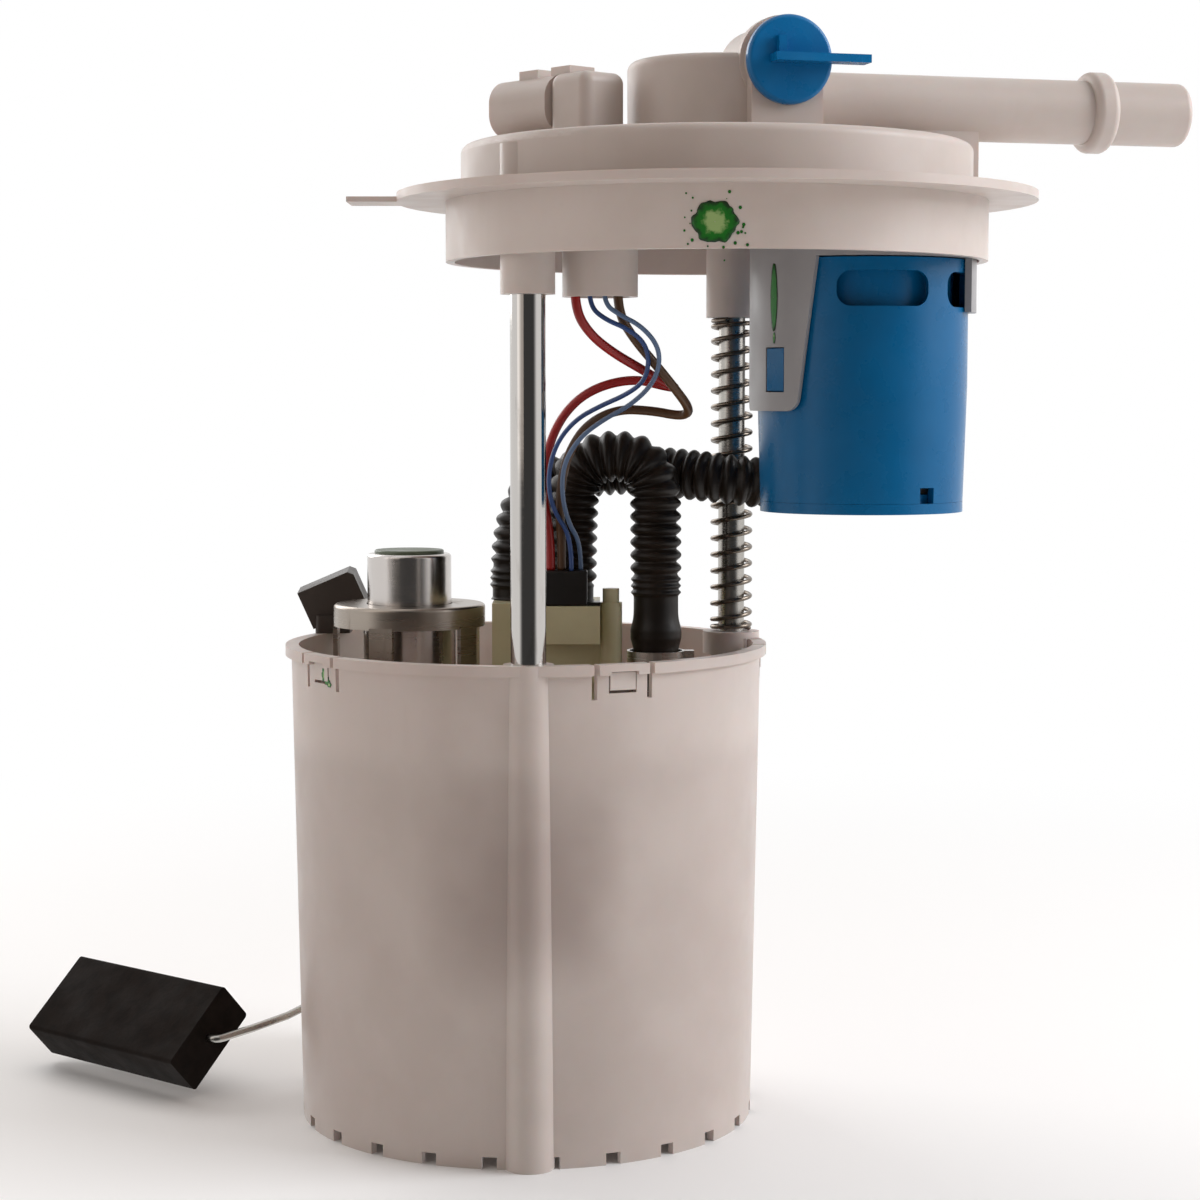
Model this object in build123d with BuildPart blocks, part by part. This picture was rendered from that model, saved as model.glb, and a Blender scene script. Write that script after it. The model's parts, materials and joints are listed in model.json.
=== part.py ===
from build123d import *
import os
from math import cos, pi, radians, sin, tan

# In-tank fuel pump module.
# A round reservoir holds the pump, filter and regulator. A flanged cover stands over it on
# two guide rods and is pushed up by a spring, so that the reservoir's foot follows the
# floor of the tank. Millimetres, +Z up, +X along the vapour pipe.
# The origin is the centre of the reservoir's foot.

os.makedirs("parts", exist_ok=True)

# Clearances
FIT = 0.05
GAP = 0.3
RUN = 0.08
BEND_SHARE = 0.45

# Plan layout: the pump group is turned against the vapour pipe
GROUP_TURN = -15.0
FRONT_ROD = (-11.8, -51.7)
REAR_ROD = (52.4, 0.0)
COVER = (38.3, -31.0)
VENT = (70.8, -41.8)

# Reservoir
RES_H = 115.0
RES_R = 57.0
RES_FOOT_R = 55.0
RES_WALL = 1.8
LIP_R = 58.4
LIP_H = 2.4
FLOOR_Z = 4.0
FLOOR_T = 2.0
FOOT_PAD_R = 8.0
NOTCHES = 24
NOTCH_W = 3.6
NOTCH_H = 2.8
LATCH_ANGLES = (75.0, 200.0, 279.0, 345.0)
LATCH_W = 6.8
LATCH_H = 5.0
LATCH_TOP_GAP = 1.6
SLOT_W = 1.3
SLOT_DEPTH = 8.0
SLOT_SPREAD = 13.6
FOOT_HOLE_R = 2.4
FOOT_HOLE = (-6.0, -20.0)

# Guide rods and their guides
FRONT_ROD_R = 4.0
REAR_ROD_R = 3.25
ROD_WALL = 1.0
FRONT_GUIDE_R = 5.7
REAR_GUIDE_R = 5.25
GUIDE_NECK = 24.0
GUIDE_FLOOR = 3.0
STOP_LIP = 0.6
STOP_H = 2.5
STOP_SPIGOT = 5.0
REAR_SEAT_R = 7.0
REAR_SEAT_H = 5.5
REAR_SEAT_RISE = 1.5
REAR_SEAT_Z = RES_H + REAR_SEAT_RISE
SPRING_R = 4.7
SPRING_WIRE_R = 0.5
SPRING_PITCH = 4.0

# Pump
PUMP_SPOT = (20.0, -2.0)
PUMP_R = 19.0
PUMP_WALL = 1.2
PUMP_Z = 16.0
PUMP_INLET_H = 6.0
PUMP_CAN_H = 64.0
PUMP_OUTLET_H = 6.0
SHAFT_R = 2.0
INLET_NECK_R = 6.0
INLET_NECK_H = 4.0
IMPELLER_R = 15.0
IMPELLER_H = 3.5
IMPELLER_VANES = 24
PLATE_H = 4.0
ARMATURE_R = 11.0
ARMATURE_H = 29.0
ARMATURE_SLOTS = 8
COMMUTATOR_R = 6.0
COMMUTATOR_H = 9.0
MAGNET_T = 5.4
MAGNET_ARC = 140.0
OUTLET_SPOT = (31.5, -6.0)
OUTLET_BASE_R = 6.0
OUTLET_BASE_H = 12.0
NIPPLE_H = 8.0
CHECK_R = 2.2
CHECK_LIFT = 2.0
ISOLATOR_T = 2.0
ISOLATOR_H = 30.0
STRAINER_L = 44.0
STRAINER_W = 30.0

# Carrier, filter and manifold
CARRIER_Z = 92.0
CARRIER_T = 2.5
HOOK_H = 4.0
FILTER_SPOT = (-28.9, 6.0)
FILTER_R = 23.0
FILTER_Z = 8.0
FILTER_TOP = 100.0
FILTER_WALL = 2.0
PLEATS = 24
PLEAT_DEPTH = 3.0
PLEAT_CORE_R = 9.0
LID_T = 3.0
BLOCK_LOW = (-8.0, -9.0)
BLOCK_HIGH = (18.0, 12.0)
BLOCK_TOP = 125.0
SHELF_LOW = (3.5, -17.0)
SHELF_H = 9.0
COVER_HOSE_SPOT = (-3.0, 5.0)
PUMP_HOSE_SPOT = (11.0, -2.0)
SPARE_SPOT = (20.6, -9.0)
SPARE_R = 2.7
SPARE_TIP_R = 2.0
SPARE_Z = 106.0
SPARE_STEP_Z = 125.4
SPARE_TOP_Z = 128.7

# Regulator
REG_LOWER_R = 11.3
REG_UPPER_R = 10.3
REG_FLANGE_R = 13.0
REG_FLANGE_Z = 121.0
REG_TOP = 136.3
REG_WALL = 0.9
RETAINER_R = 18.6
RETAINER_Z = 118.6
RETAINER_TOP = 124.0
RETAINER_T = 1.1
RETAINER_LEGS = 5
RETAINER_PITCH = 360 / RETAINER_LEGS
RETAINER_LEG_W = 6.0

# Hoses and wires
HOSE_R = 6.2
HOSE_BORE_R = 4.15
NIPPLE_R = HOSE_BORE_R - FIT
NIPPLE_BORE_R = 2.7
CLAMP_T = 0.8
CLAMP_H = 3.0
POWER_WIRE_R = 0.85
SIGNAL_WIRE_R = 0.55
PLUG_LOW = (4.4, -16.0)
PLUG_HIGH = (15.0, -9.2)
PLUG_H = 8.4

# Level sender, in its own upright plane at the side of the reservoir
SENDER_ANGLE = 125.0
BRACKET_N = 57.3
BRACKET_T = 1.6
BRACKET_ALONG = (-32.0, 21.0)
BRACKET_DROP = 2.0
BRACKET_Z = (4.0, RES_H - BRACKET_DROP)
HOUSING_T = 4.0
HOUSING_ALONG = (-34.0, -7.0)
HOUSING_Z = (12.0, 56.0)
PIVOT = (-22.0, 26.0)
PIVOT_R = 1.5
HOLDER_R = 5.0
HOLDER_T = 3.0
ARM_R = 1.0
FLOAT_SPOT = (44.3, 14.2)
FLOAT_L = 56.0
FLOAT_W = 24.0
FLOAT_T = 12.0
FLOAT_TILT = 138.0

# Cover
DISC_R = 74.3
DISC_Z = 219.5
DISC_T = 2.0
SKIRT_R = 63.0
SKIRT_WALL = 2.0
SKIRT_Z = 205.8
PLATFORM_R = 59.4
PLATFORM_Z = 232.5
PLATFORM_WALL = 2.3
DOME_R = 20.7
DOME_H = 19.5
DOME_Z = PLATFORM_Z + DOME_H
DOME_WALL = 2.2
BOSS_TOP = PLATFORM_Z - PLATFORM_WALL
FRONT_BOSS_R = 6.1
FRONT_BOSS_Z = 197.3
REAR_BOSS_R = 6.4
REAR_BOSS_Z = 194.0
ROD_SEAT = 14.0
WIRE_BOSS_SPOT = (18.0, -44.0)
WIRE_BOSS_R = 8.5
WIRE_BOSS_Z = 197.0
WIRE_BOSS_BORE_R = 6.8
HOSE_BOSS_SPOT = (66.0, 21.0)
HOSE_BOSS_R = 7.0
HOSE_BOSS_Z = 200.0
TAB_ANGLE = 165.0
TAB_REACH = 11.3
TAB_W = 14.0
TAB_T = 1.2

# Vapour pipe
PIPE_H = 10.5
PIPE_Z = PLATFORM_Z + PIPE_H
PIPE_R = 7.6
PIPE_BORE_R = 5.8
PIPE_END_X = 157.0
BEAD_X = 131.0
BEAD_L = 6.0
BEAD_R = 9.7
SADDLE_END_X = 102.0
SADDLE_W = 10.0

# Fuel port and its dust plug
PORT_X = 47.5
PORT_H = 17.5
PORT_Z = PLATFORM_Z + PORT_H
PORT_R = 9.3
PORT_BORE_R = 7.5
PORT_END_Y = -55.0
PORT_DEPTH = 18.0
PORT_BASE_W = 17.0
COLLAR_R = 10.4
COLLAR_T = 3.0
PLUG_DISC_R = 10.0
PLUG_DISC_T = 2.0
PLUG_SPIGOT_L = 14.0
PLUG_WALL = 1.4
BLADE_REACH = 17.3
BLADE_T = 1.8
BLADE_W = 5.0

# Electrical connector on the cover
CONNECTOR_AT = (7.4, -31.0)
CONNECTOR_ANGLE = 117.0
CONNECTOR_BLOCK = (13.0, 13.0, 16.0)
CAPSULE_W = 15.0
CAPSULE_H = 13.2
CAPSULE_L = 20.0
CAPSULE_WALL = 1.3
CAPSULE_FLOOR = 5.0
CAPSULE_RISE = 9.5
CAPSULE_Z = PLATFORM_Z + CAPSULE_RISE
TERMINAL_W = 0.8
TERMINAL_L = 5.0
TERMINAL_PITCH = 2.6
TERMINALS = 4

# Vent valve, hung under the cover in a bracket
VENT_R = 24.4
VENT_FOOT_R = 23.6
VENT_TOP = 206.0
VENT_LOW = 148.0
VENT_WALL = 2.0
VENT_LID_T = 2.4
VENT_FLOAT_R = 18.5
VENT_FLOAT_H = 34.0
VENT_LIFT = 4.0
BRACKET_STRIP = 1.6
STRIP_LEAN = 5.0
STRIP_CORNER = 3.5
VENT_WINDOW_Z = (194.0, 204.0)
VENT_WINDOWS = ((261.0, 21.0), (320.0, 16.0))
VENT_NOTCH_ANGLE = 288.4
VENT_NOTCH = (4.0, 3.6)
VENT_WINDOW_CORNER = 3.2
VENT_SLEEVE_R = 20.8
VENT_SLEEVE_WALL = 1.2
VENT_SLEEVE_Z = 191.5


def grouped(x, y):
    """Plan position of a point of the pump group, which is turned against the vapour pipe."""
    turn = radians(GROUP_TURN)
    return (x * cos(turn) - y * sin(turn), x * sin(turn) + y * cos(turn))


def polar(radius, angle, z, centre=(0.0, 0.0)):
    """Place on a circle about an upright axis, with its x axis turned outward."""
    turn = radians(angle)
    return Location((centre[0] + radius * cos(turn), centre[1] + radius * sin(turn), z), (0, 0, angle))


def upright(centre):
    """Upright plane through a plan position: its x along X, its y upward."""
    return Plane(origin=(centre[0], centre[1], 0), x_dir=(1, 0, 0), z_dir=(0, -1, 0))


def spin_axis(centre):
    """Upright axis through a plan position."""
    return Axis((centre[0], centre[1], 0), (0, 0, 1))


def post(centre, radius, low, high, mode=Mode.ADD):
    """Upright cylinder between two heights, joined to or cut from the piece being built."""
    with Locations((centre[0], centre[1], low)):
        Cylinder(radius, high - low, align=(Align.CENTER, Align.CENTER, Align.MIN), mode=mode)


def block(low, high, z_low, z_high, mode=Mode.ADD):
    """Box of the pump group between two plan corners and two heights."""
    middle = grouped((low[0] + high[0]) / 2, (low[1] + high[1]) / 2)
    with Locations(Location((middle[0], middle[1], (z_low + z_high) / 2), (0, 0, GROUP_TURN))):
        Box(high[0] - low[0], high[1] - low[1], z_high - z_low, mode=mode)


def strip(z, centre, inner, outer, start, end):
    """Flat sector of a ring at one height, between two angles."""
    with BuildSketch(Plane.XY.offset(z)) as sector:
        with BuildLine():
            far = CenterArc(centre, outer, start, end - start)
            near = CenterArc(centre, inner, start, end - start)
            Line(far @ 0, near @ 0)
            Line(far @ 1, near @ 1)
        make_face()
    return sector.sketch


def res_radius(z):
    """Outer radius of the reservoir's wall at a height."""
    return RES_FOOT_R + (RES_R - RES_FOOT_R) * z / RES_H


def bend_radii(points):
    """One radius for each corner of a route, as large as the shorter run beside it allows."""
    radii = []
    for before, corner, after in zip(points, points[1:], points[2:]):
        run_in = Vector(*corner) - Vector(*before)
        run_out = Vector(*after) - Vector(*corner)
        half_turn = radians(run_in.get_angle(run_out)) / 2
        radii.append(BEND_SHARE * min(run_in.length, run_out.length) / tan(half_turn))
    return radii


def cord_tube(name, route, radius, bore):
    """Tube along a route of the pump group: straight runs joined by tangent arcs."""
    points = [(*grouped(x, y), z) for x, y, z in route]
    radii = bend_radii(points)
    with BuildPart() as tube:
        with BuildLine() as path:
            FilletPolyline(*points, radius=radii)
        with BuildSketch(Plane(origin=path.line @ 0, z_dir=path.line % 0)):
            Circle(radius)
            if bore:
                Circle(bore, mode=Mode.SUBTRACT)
        sweep()
    length = path.wire().length
    volume_ratio = tube.part.volume / (pi * (radius ** 2 - bore ** 2) * length)
    print(name, "length", round(length, 1), "volume ratio", round(volume_ratio, 4),
          "radii", [round(value, 1) for value in radii])
    return tube


PUMP = grouped(*PUMP_SPOT)
FILTER = grouped(*FILTER_SPOT)
OUTLET = grouped(*OUTLET_SPOT)
NECK_Z = RES_H - GUIDE_NECK
ROD_END_Z = NECK_Z - GAP
CAN_Z = PUMP_Z + PUMP_INLET_H
CAN_TOP = CAN_Z + PUMP_CAN_H
PUMP_TOP = CAN_TOP + PUMP_OUTLET_H
FLOOR_TOP = FLOOR_Z + FLOOR_T
LATCH_TOP = RES_H - LATCH_TOP_GAP
LID_TOP = FILTER_TOP + LID_T

# Reservoir

with BuildPart() as reservoir:
    with BuildSketch(Plane.XZ):
        with BuildLine():
            Polyline(
                (0, FLOOR_Z),
                (res_radius(FLOOR_Z) - RES_WALL, FLOOR_Z),
                (RES_FOOT_R - RES_WALL, 0),
                (RES_FOOT_R, 0),
                (res_radius(RES_H - LIP_H), RES_H - LIP_H),
                (LIP_R, RES_H - LIP_H),
                (LIP_R, RES_H),
                (RES_R - RES_WALL, RES_H),
                (res_radius(FLOOR_TOP) - RES_WALL, FLOOR_TOP),
                (0, FLOOR_TOP),
                close=True,
            )
        make_face()
    revolve(axis=Axis.Z)
    with PolarLocations(RES_FOOT_R, NOTCHES, start_angle=180 / NOTCHES):
        Box(4 * RES_WALL, NOTCH_W, NOTCH_H, align=(Align.CENTER, Align.CENTER, Align.MIN), mode=Mode.SUBTRACT)
    post((0, 0), FOOT_PAD_R, 0, FLOOR_Z)
    post(FRONT_ROD, FRONT_GUIDE_R, 0, RES_H)
    post(REAR_ROD, REAR_GUIDE_R, 0, REAR_SEAT_Z)
    post(REAR_ROD, REAR_SEAT_R, REAR_SEAT_Z - REAR_SEAT_H, REAR_SEAT_Z)
    post(FRONT_ROD, FRONT_ROD_R + STOP_LIP + GAP, GUIDE_FLOOR, NECK_Z, mode=Mode.SUBTRACT)
    post(REAR_ROD, REAR_ROD_R + STOP_LIP + GAP, GUIDE_FLOOR, NECK_Z, mode=Mode.SUBTRACT)
    post(FRONT_ROD, FRONT_ROD_R + RUN, NECK_Z, RES_H, mode=Mode.SUBTRACT)
    post(REAR_ROD, REAR_ROD_R + RUN, NECK_Z, REAR_SEAT_Z, mode=Mode.SUBTRACT)
    post(grouped(*FOOT_HOLE), FOOT_HOLE_R, FLOOR_Z, FLOOR_TOP, mode=Mode.SUBTRACT)
    for angle in LATCH_ANGLES:
        with Locations(polar(RES_R, angle, LATCH_TOP - LATCH_H / 2)):
            Box(4 * RES_WALL, LATCH_W, LATCH_H, mode=Mode.SUBTRACT)
        with Locations(polar(RES_R, angle, RES_H - SLOT_DEPTH / 2)):
            with GridLocations(0, SLOT_SPREAD, 1, 2):
                Box(4 * RES_WALL, SLOT_W, SLOT_DEPTH, mode=Mode.SUBTRACT)
reservoir.part.label = "reservoir"
export_step(reservoir.part, "parts/reservoir.step")

# Pump carrier: a plate inside the reservoir, hooked through the windows at the rim

CARRIER_R = res_radius(CARRIER_Z) - RES_WALL - GAP
HOOK_INNER_R = CARRIER_R - RES_WALL
HOOK_TOP = LATCH_TOP - GAP

with BuildPart() as pump_carrier:
    post((0, 0), CARRIER_R, CARRIER_Z, CARRIER_Z + CARRIER_T)
    for angle in LATCH_ANGLES:
        with Locations(polar(HOOK_INNER_R + RES_WALL / 2, angle, (CARRIER_Z + HOOK_TOP) / 2)):
            Box(RES_WALL, LATCH_W - 2 * GAP, HOOK_TOP - CARRIER_Z)
        with Locations(polar(RES_R - RES_WALL, angle, HOOK_TOP - HOOK_H / 2)):
            Box(2 * RES_WALL, LATCH_W - 2 * GAP, HOOK_H)
    post(PUMP, PUMP_R + ISOLATOR_T + FIT, CARRIER_Z, CARRIER_Z + CARRIER_T, mode=Mode.SUBTRACT)
    post(FILTER, FILTER_R + FIT, CARRIER_Z, CARRIER_Z + CARRIER_T, mode=Mode.SUBTRACT)
    post(FRONT_ROD, FRONT_GUIDE_R + GAP, CARRIER_Z, RES_H, mode=Mode.SUBTRACT)
    post(REAR_ROD, REAR_GUIDE_R + GAP, CARRIER_Z, RES_H, mode=Mode.SUBTRACT)
pump_carrier.part.label = "pump_carrier"
export_step(pump_carrier.part, "parts/pump_carrier.step")

# Pump, from the strainer at the bottom to the outlet at the top

with BuildPart() as strainer:
    with BuildSketch(Plane.XY.offset(FLOOR_TOP + GAP)):
        with Locations(Location((PUMP[0], PUMP[1], 0), (0, 0, GROUP_TURN))):
            RectangleRounded(STRAINER_L, STRAINER_W, STRAINER_W / 3)
    extrude(amount=PUMP_Z - INLET_NECK_H - FLOOR_TOP - GAP)
    fillet(strainer.edges().group_by(Axis.Z)[-1], radius=FLOOR_T)
strainer.part.label = "strainer"
export_step(strainer.part, "parts/strainer.step")

with BuildPart() as pump_inlet_cover:
    post(PUMP, INLET_NECK_R, PUMP_Z - INLET_NECK_H, PUMP_Z)
    post(PUMP, PUMP_R, PUMP_Z, CAN_Z)
    post(PUMP, PUMP_R - PUMP_WALL - FIT, CAN_Z, CAN_Z + PUMP_INLET_H / 2)
    post(PUMP, SHAFT_R + RUN, PUMP_Z + PUMP_WALL, CAN_Z + PUMP_INLET_H / 2, mode=Mode.SUBTRACT)
pump_inlet_cover.part.label = "pump_inlet_cover"
export_step(pump_inlet_cover.part, "parts/pump_inlet_cover.step")

with BuildPart() as pump_can:
    post(PUMP, PUMP_R, CAN_Z, CAN_TOP)
    post(PUMP, PUMP_R - PUMP_WALL, CAN_Z, CAN_TOP, mode=Mode.SUBTRACT)
pump_can.part.label = "pump_can"
export_step(pump_can.part, "parts/pump_can.step")

IMPELLER_Z = CAN_Z + PUMP_INLET_H / 2 + GAP
PLATE_Z = IMPELLER_Z + IMPELLER_H + GAP
ARMATURE_Z = PLATE_Z + PLATE_H + 4 * GAP
COMMUTATOR_Z = ARMATURE_Z + ARMATURE_H + FLOOR_T
BRUSH_SEAT_Z = COMMUTATOR_Z + COMMUTATOR_H + GAP

with BuildPart() as impeller:
    post(PUMP, IMPELLER_R, IMPELLER_Z, IMPELLER_Z + IMPELLER_H)
    post(PUMP, SHAFT_R + FIT, IMPELLER_Z, IMPELLER_Z + IMPELLER_H, mode=Mode.SUBTRACT)
    for vane in range(IMPELLER_VANES):
        with Locations(polar(IMPELLER_R, vane * 360 / IMPELLER_VANES, IMPELLER_Z + IMPELLER_H / 2, PUMP)):
            Box(IMPELLER_H, SHAFT_R, 2 * IMPELLER_H, mode=Mode.SUBTRACT)
impeller.part.label = "impeller"
export_step(impeller.part, "parts/impeller.step")

with BuildPart() as impeller_plate:
    post(PUMP, PUMP_R - PUMP_WALL - FIT, PLATE_Z, PLATE_Z + PLATE_H)
    post(PUMP, SHAFT_R + RUN, PLATE_Z, PLATE_Z + PLATE_H, mode=Mode.SUBTRACT)
    post(grouped(PUMP_SPOT[0], PUMP_SPOT[1] + IMPELLER_R - PLATE_H), SHAFT_R, PLATE_Z, PLATE_Z + PLATE_H,
         mode=Mode.SUBTRACT)
impeller_plate.part.label = "impeller_plate"
export_step(impeller_plate.part, "parts/impeller_plate.step")

with BuildPart() as armature:
    post(PUMP, ARMATURE_R, ARMATURE_Z, ARMATURE_Z + ARMATURE_H)
    for slot in range(ARMATURE_SLOTS):
        with Locations(polar(ARMATURE_R, slot * 360 / ARMATURE_SLOTS, ARMATURE_Z + ARMATURE_H / 2, PUMP)):
            Box(SHAFT_R * 4, SHAFT_R, 2 * ARMATURE_H, mode=Mode.SUBTRACT)
    post(PUMP, COMMUTATOR_R, ARMATURE_Z, COMMUTATOR_Z + COMMUTATOR_H)
    post(PUMP, SHAFT_R + FIT, ARMATURE_Z, COMMUTATOR_Z + COMMUTATOR_H, mode=Mode.SUBTRACT)
armature.part.label = "armature"
export_step(armature.part, "parts/armature.step")

with BuildPart() as pump_shaft:
    post(PUMP, SHAFT_R, PUMP_Z + PUMP_WALL + GAP, CAN_TOP + GAP)
pump_shaft.part.label = "pump_shaft"
export_step(pump_shaft.part, "parts/pump_shaft.step")

MAGNET_OUTER_R = PUMP_R - PUMP_WALL - FIT

with BuildPart() as motor_magnets:
    for side in (0, 180):
        extrude(strip(PLATE_Z + PLATE_H, PUMP, MAGNET_OUTER_R - MAGNET_T, MAGNET_OUTER_R,
                      side - MAGNET_ARC / 2, side + MAGNET_ARC / 2), amount=ARMATURE_H + PLATE_H)
motor_magnets.part.label = "motor_magnets"
export_step(motor_magnets.part, "parts/motor_magnets.step")

with BuildPart() as brush_holder:
    post(PUMP, MAGNET_OUTER_R, BRUSH_SEAT_Z, CAN_TOP)
    post(PUMP, SHAFT_R + RUN, BRUSH_SEAT_Z, CAN_TOP, mode=Mode.SUBTRACT)
    post(OUTLET, CHECK_R, BRUSH_SEAT_Z, CAN_TOP, mode=Mode.SUBTRACT)
brush_holder.part.label = "brush_holder"
export_step(brush_holder.part, "parts/brush_holder.step")

with BuildPart() as brushes:
    for side in (0, 180):
        with Locations(polar(COMMUTATOR_R + RUN, side, BRUSH_SEAT_Z - COMMUTATOR_H / 2, PUMP)):
            Box(COMMUTATOR_R, SHAFT_R * 2, COMMUTATOR_H, align=(Align.MIN, Align.CENTER, Align.CENTER))
brushes.part.label = "brushes"
export_step(brushes.part, "parts/brushes.step")

NECK_TOP = PUMP_TOP + OUTLET_BASE_H
CHECK_SEAT_Z = PUMP_TOP + CHECK_LIFT

with BuildPart() as pump_outlet_cover:
    post(PUMP, PUMP_R, CAN_TOP, PUMP_TOP)
    post(OUTLET, OUTLET_BASE_R, PUMP_TOP, NECK_TOP)
    post(OUTLET, NIPPLE_R, NECK_TOP, NECK_TOP + NIPPLE_H)
    post(OUTLET, CHECK_R / 2, CAN_TOP, CHECK_SEAT_Z, mode=Mode.SUBTRACT)
    post(OUTLET, NIPPLE_BORE_R, CHECK_SEAT_Z, NECK_TOP + NIPPLE_H, mode=Mode.SUBTRACT)
    post(PUMP, SHAFT_R + RUN, CAN_TOP, CAN_TOP + 2 * GAP, mode=Mode.SUBTRACT)
pump_outlet_cover.part.label = "pump_outlet_cover"
export_step(pump_outlet_cover.part, "parts/pump_outlet_cover.step")

with BuildPart() as check_valve:
    post(OUTLET, CHECK_R, CHECK_SEAT_Z + FIT, CHECK_SEAT_Z + CHECK_R)
    post(OUTLET, CHECK_R / 2, CHECK_SEAT_Z + CHECK_R, CHECK_SEAT_Z + 3 * CHECK_R)
check_valve.part.label = "check_valve"
export_step(check_valve.part, "parts/check_valve.step")

with BuildPart() as pump_isolator:
    post(PUMP, PUMP_R + ISOLATOR_T, CARRIER_Z + CARRIER_T - ISOLATOR_H, CARRIER_Z + CARRIER_T)
    post(PUMP, PUMP_R + FIT, CARRIER_Z + CARRIER_T - ISOLATOR_H, CARRIER_Z + CARRIER_T, mode=Mode.SUBTRACT)
pump_isolator.part.label = "pump_isolator"
export_step(pump_isolator.part, "parts/pump_isolator.step")

# Filter, manifold and regulator

with BuildPart() as filter_canister:
    post(FILTER, FILTER_R, FILTER_Z, FILTER_TOP)
    post(FILTER, FILTER_R + FILTER_WALL, CARRIER_Z + CARRIER_T, CARRIER_Z + 2 * CARRIER_T)
    post(FILTER, FILTER_R - FILTER_WALL, FILTER_Z + FILTER_WALL, FILTER_TOP, mode=Mode.SUBTRACT)
filter_canister.part.label = "filter_canister"
export_step(filter_canister.part, "parts/filter_canister.step")

PLEAT_R = FILTER_R - FILTER_WALL - GAP

with BuildPart() as filter_element:
    with BuildSketch(Plane.XY.offset(FILTER_Z + FILTER_WALL)):
        with Locations(FILTER):
            with BuildLine(mode=Mode.PRIVATE) as pleats:
                Polyline(*[
                    polar(PLEAT_R - PLEAT_DEPTH * (corner % 2), corner * 180 / PLEATS, 0).position
                    for corner in range(2 * PLEATS)
                ], close=True)
            add(make_face(pleats.line, mode=Mode.PRIVATE))
            Circle(PLEAT_CORE_R, mode=Mode.SUBTRACT)
    extrude(amount=FILTER_TOP - FILTER_Z - 2 * FILTER_WALL)
filter_element.part.label = "filter_element"
export_step(filter_element.part, "parts/filter_element.step")

COVER_HOSE = grouped(*COVER_HOSE_SPOT)
PUMP_HOSE = grouped(*PUMP_HOSE_SPOT)
SPARE = grouped(*SPARE_SPOT)

SPARE_ARM_LOW = (BLOCK_HIGH[0] - SPARE_R, SPARE_SPOT[1] - SPARE_R)
SPARE_ARM_HIGH = (SPARE_SPOT[0] + SPARE_R, SPARE_SPOT[1] + SPARE_R)

with BuildPart() as manifold:
    post(FILTER, FILTER_R + FILTER_WALL, FILTER_TOP, LID_TOP)
    block((FILTER_SPOT[0], BLOCK_LOW[1]), BLOCK_HIGH, FILTER_TOP, LID_TOP)
    block(BLOCK_LOW, BLOCK_HIGH, FILTER_TOP, BLOCK_TOP)
    block(SHELF_LOW, (BLOCK_HIGH[0], BLOCK_LOW[1]), BLOCK_TOP - SHELF_H, BLOCK_TOP)
    post(SPARE, SPARE_R, SPARE_Z, SPARE_STEP_Z)
    post(SPARE, SPARE_TIP_R, SPARE_STEP_Z, SPARE_TOP_Z)
    block(SPARE_ARM_LOW, SPARE_ARM_HIGH, SPARE_Z, SPARE_Z + LID_T)
    for spot in (COVER_HOSE, PUMP_HOSE):
        post(spot, NIPPLE_R, BLOCK_TOP, BLOCK_TOP + NIPPLE_H)
        post(spot, NIPPLE_BORE_R, LID_TOP, BLOCK_TOP + NIPPLE_H, mode=Mode.SUBTRACT)
manifold.part.label = "manifold"
export_step(manifold.part, "parts/manifold.step")

with BuildPart() as regulator_body:
    post(FILTER, REG_LOWER_R, LID_TOP, REG_FLANGE_Z)
    post(FILTER, REG_FLANGE_R, REG_FLANGE_Z, REG_FLANGE_Z + REG_WALL)
    post(FILTER, REG_UPPER_R, REG_FLANGE_Z + REG_WALL, REG_TOP)
    fillet(regulator_body.edges().group_by(Axis.Z)[-1], radius=REG_WALL)
    post(FILTER, REG_UPPER_R - REG_WALL, LID_TOP + REG_WALL, REG_TOP - REG_WALL, mode=Mode.SUBTRACT)
regulator_body.part.label = "regulator_body"
export_step(regulator_body.part, "parts/regulator_body.step")

with BuildPart() as regulator_cap:
    post(FILTER, REG_UPPER_R - 2 * REG_WALL, REG_TOP, REG_TOP + REG_WALL)
    fillet(regulator_cap.edges().group_by(Axis.Z)[-1], radius=REG_WALL / 2)
regulator_cap.part.label = "regulator_cap"
export_step(regulator_cap.part, "parts/regulator_cap.step")

DIAPHRAGM_Z = REG_FLANGE_Z - REG_WALL
DIAPHRAGM_T = 1.5
DIAPHRAGM_R = REG_UPPER_R - REG_WALL - GAP
REG_SEAT_Z = LID_TOP + REG_WALL
REG_STEM_R = 2.0

with BuildPart() as regulator_valve:
    post(FILTER, DIAPHRAGM_R, DIAPHRAGM_Z, DIAPHRAGM_Z + DIAPHRAGM_T)
    post(FILTER, REG_STEM_R, REG_SEAT_Z + FIT, DIAPHRAGM_Z)
regulator_valve.part.label = "regulator_valve"
export_step(regulator_valve.part, "parts/regulator_valve.step")

REG_SPRING_Z = DIAPHRAGM_Z + DIAPHRAGM_T
REG_SPRING_R = 5.0

with BuildPart() as regulator_spring:
    with BuildLine():
        reg_coil = Helix(
            pitch=SPRING_PITCH / 2,
            height=REG_TOP - REG_WALL - REG_SPRING_Z - 2 * SPRING_WIRE_R - FIT,
            radius=REG_SPRING_R,
            center=(FILTER[0], FILTER[1], REG_SPRING_Z + SPRING_WIRE_R),
        )
    with BuildSketch(Plane(origin=reg_coil @ 0, z_dir=reg_coil % 0)):
        Circle(SPRING_WIRE_R)
    sweep(is_frenet=True)
regulator_spring.part.label = "regulator_spring"
export_step(regulator_spring.part, "parts/regulator_spring.step")

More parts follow.
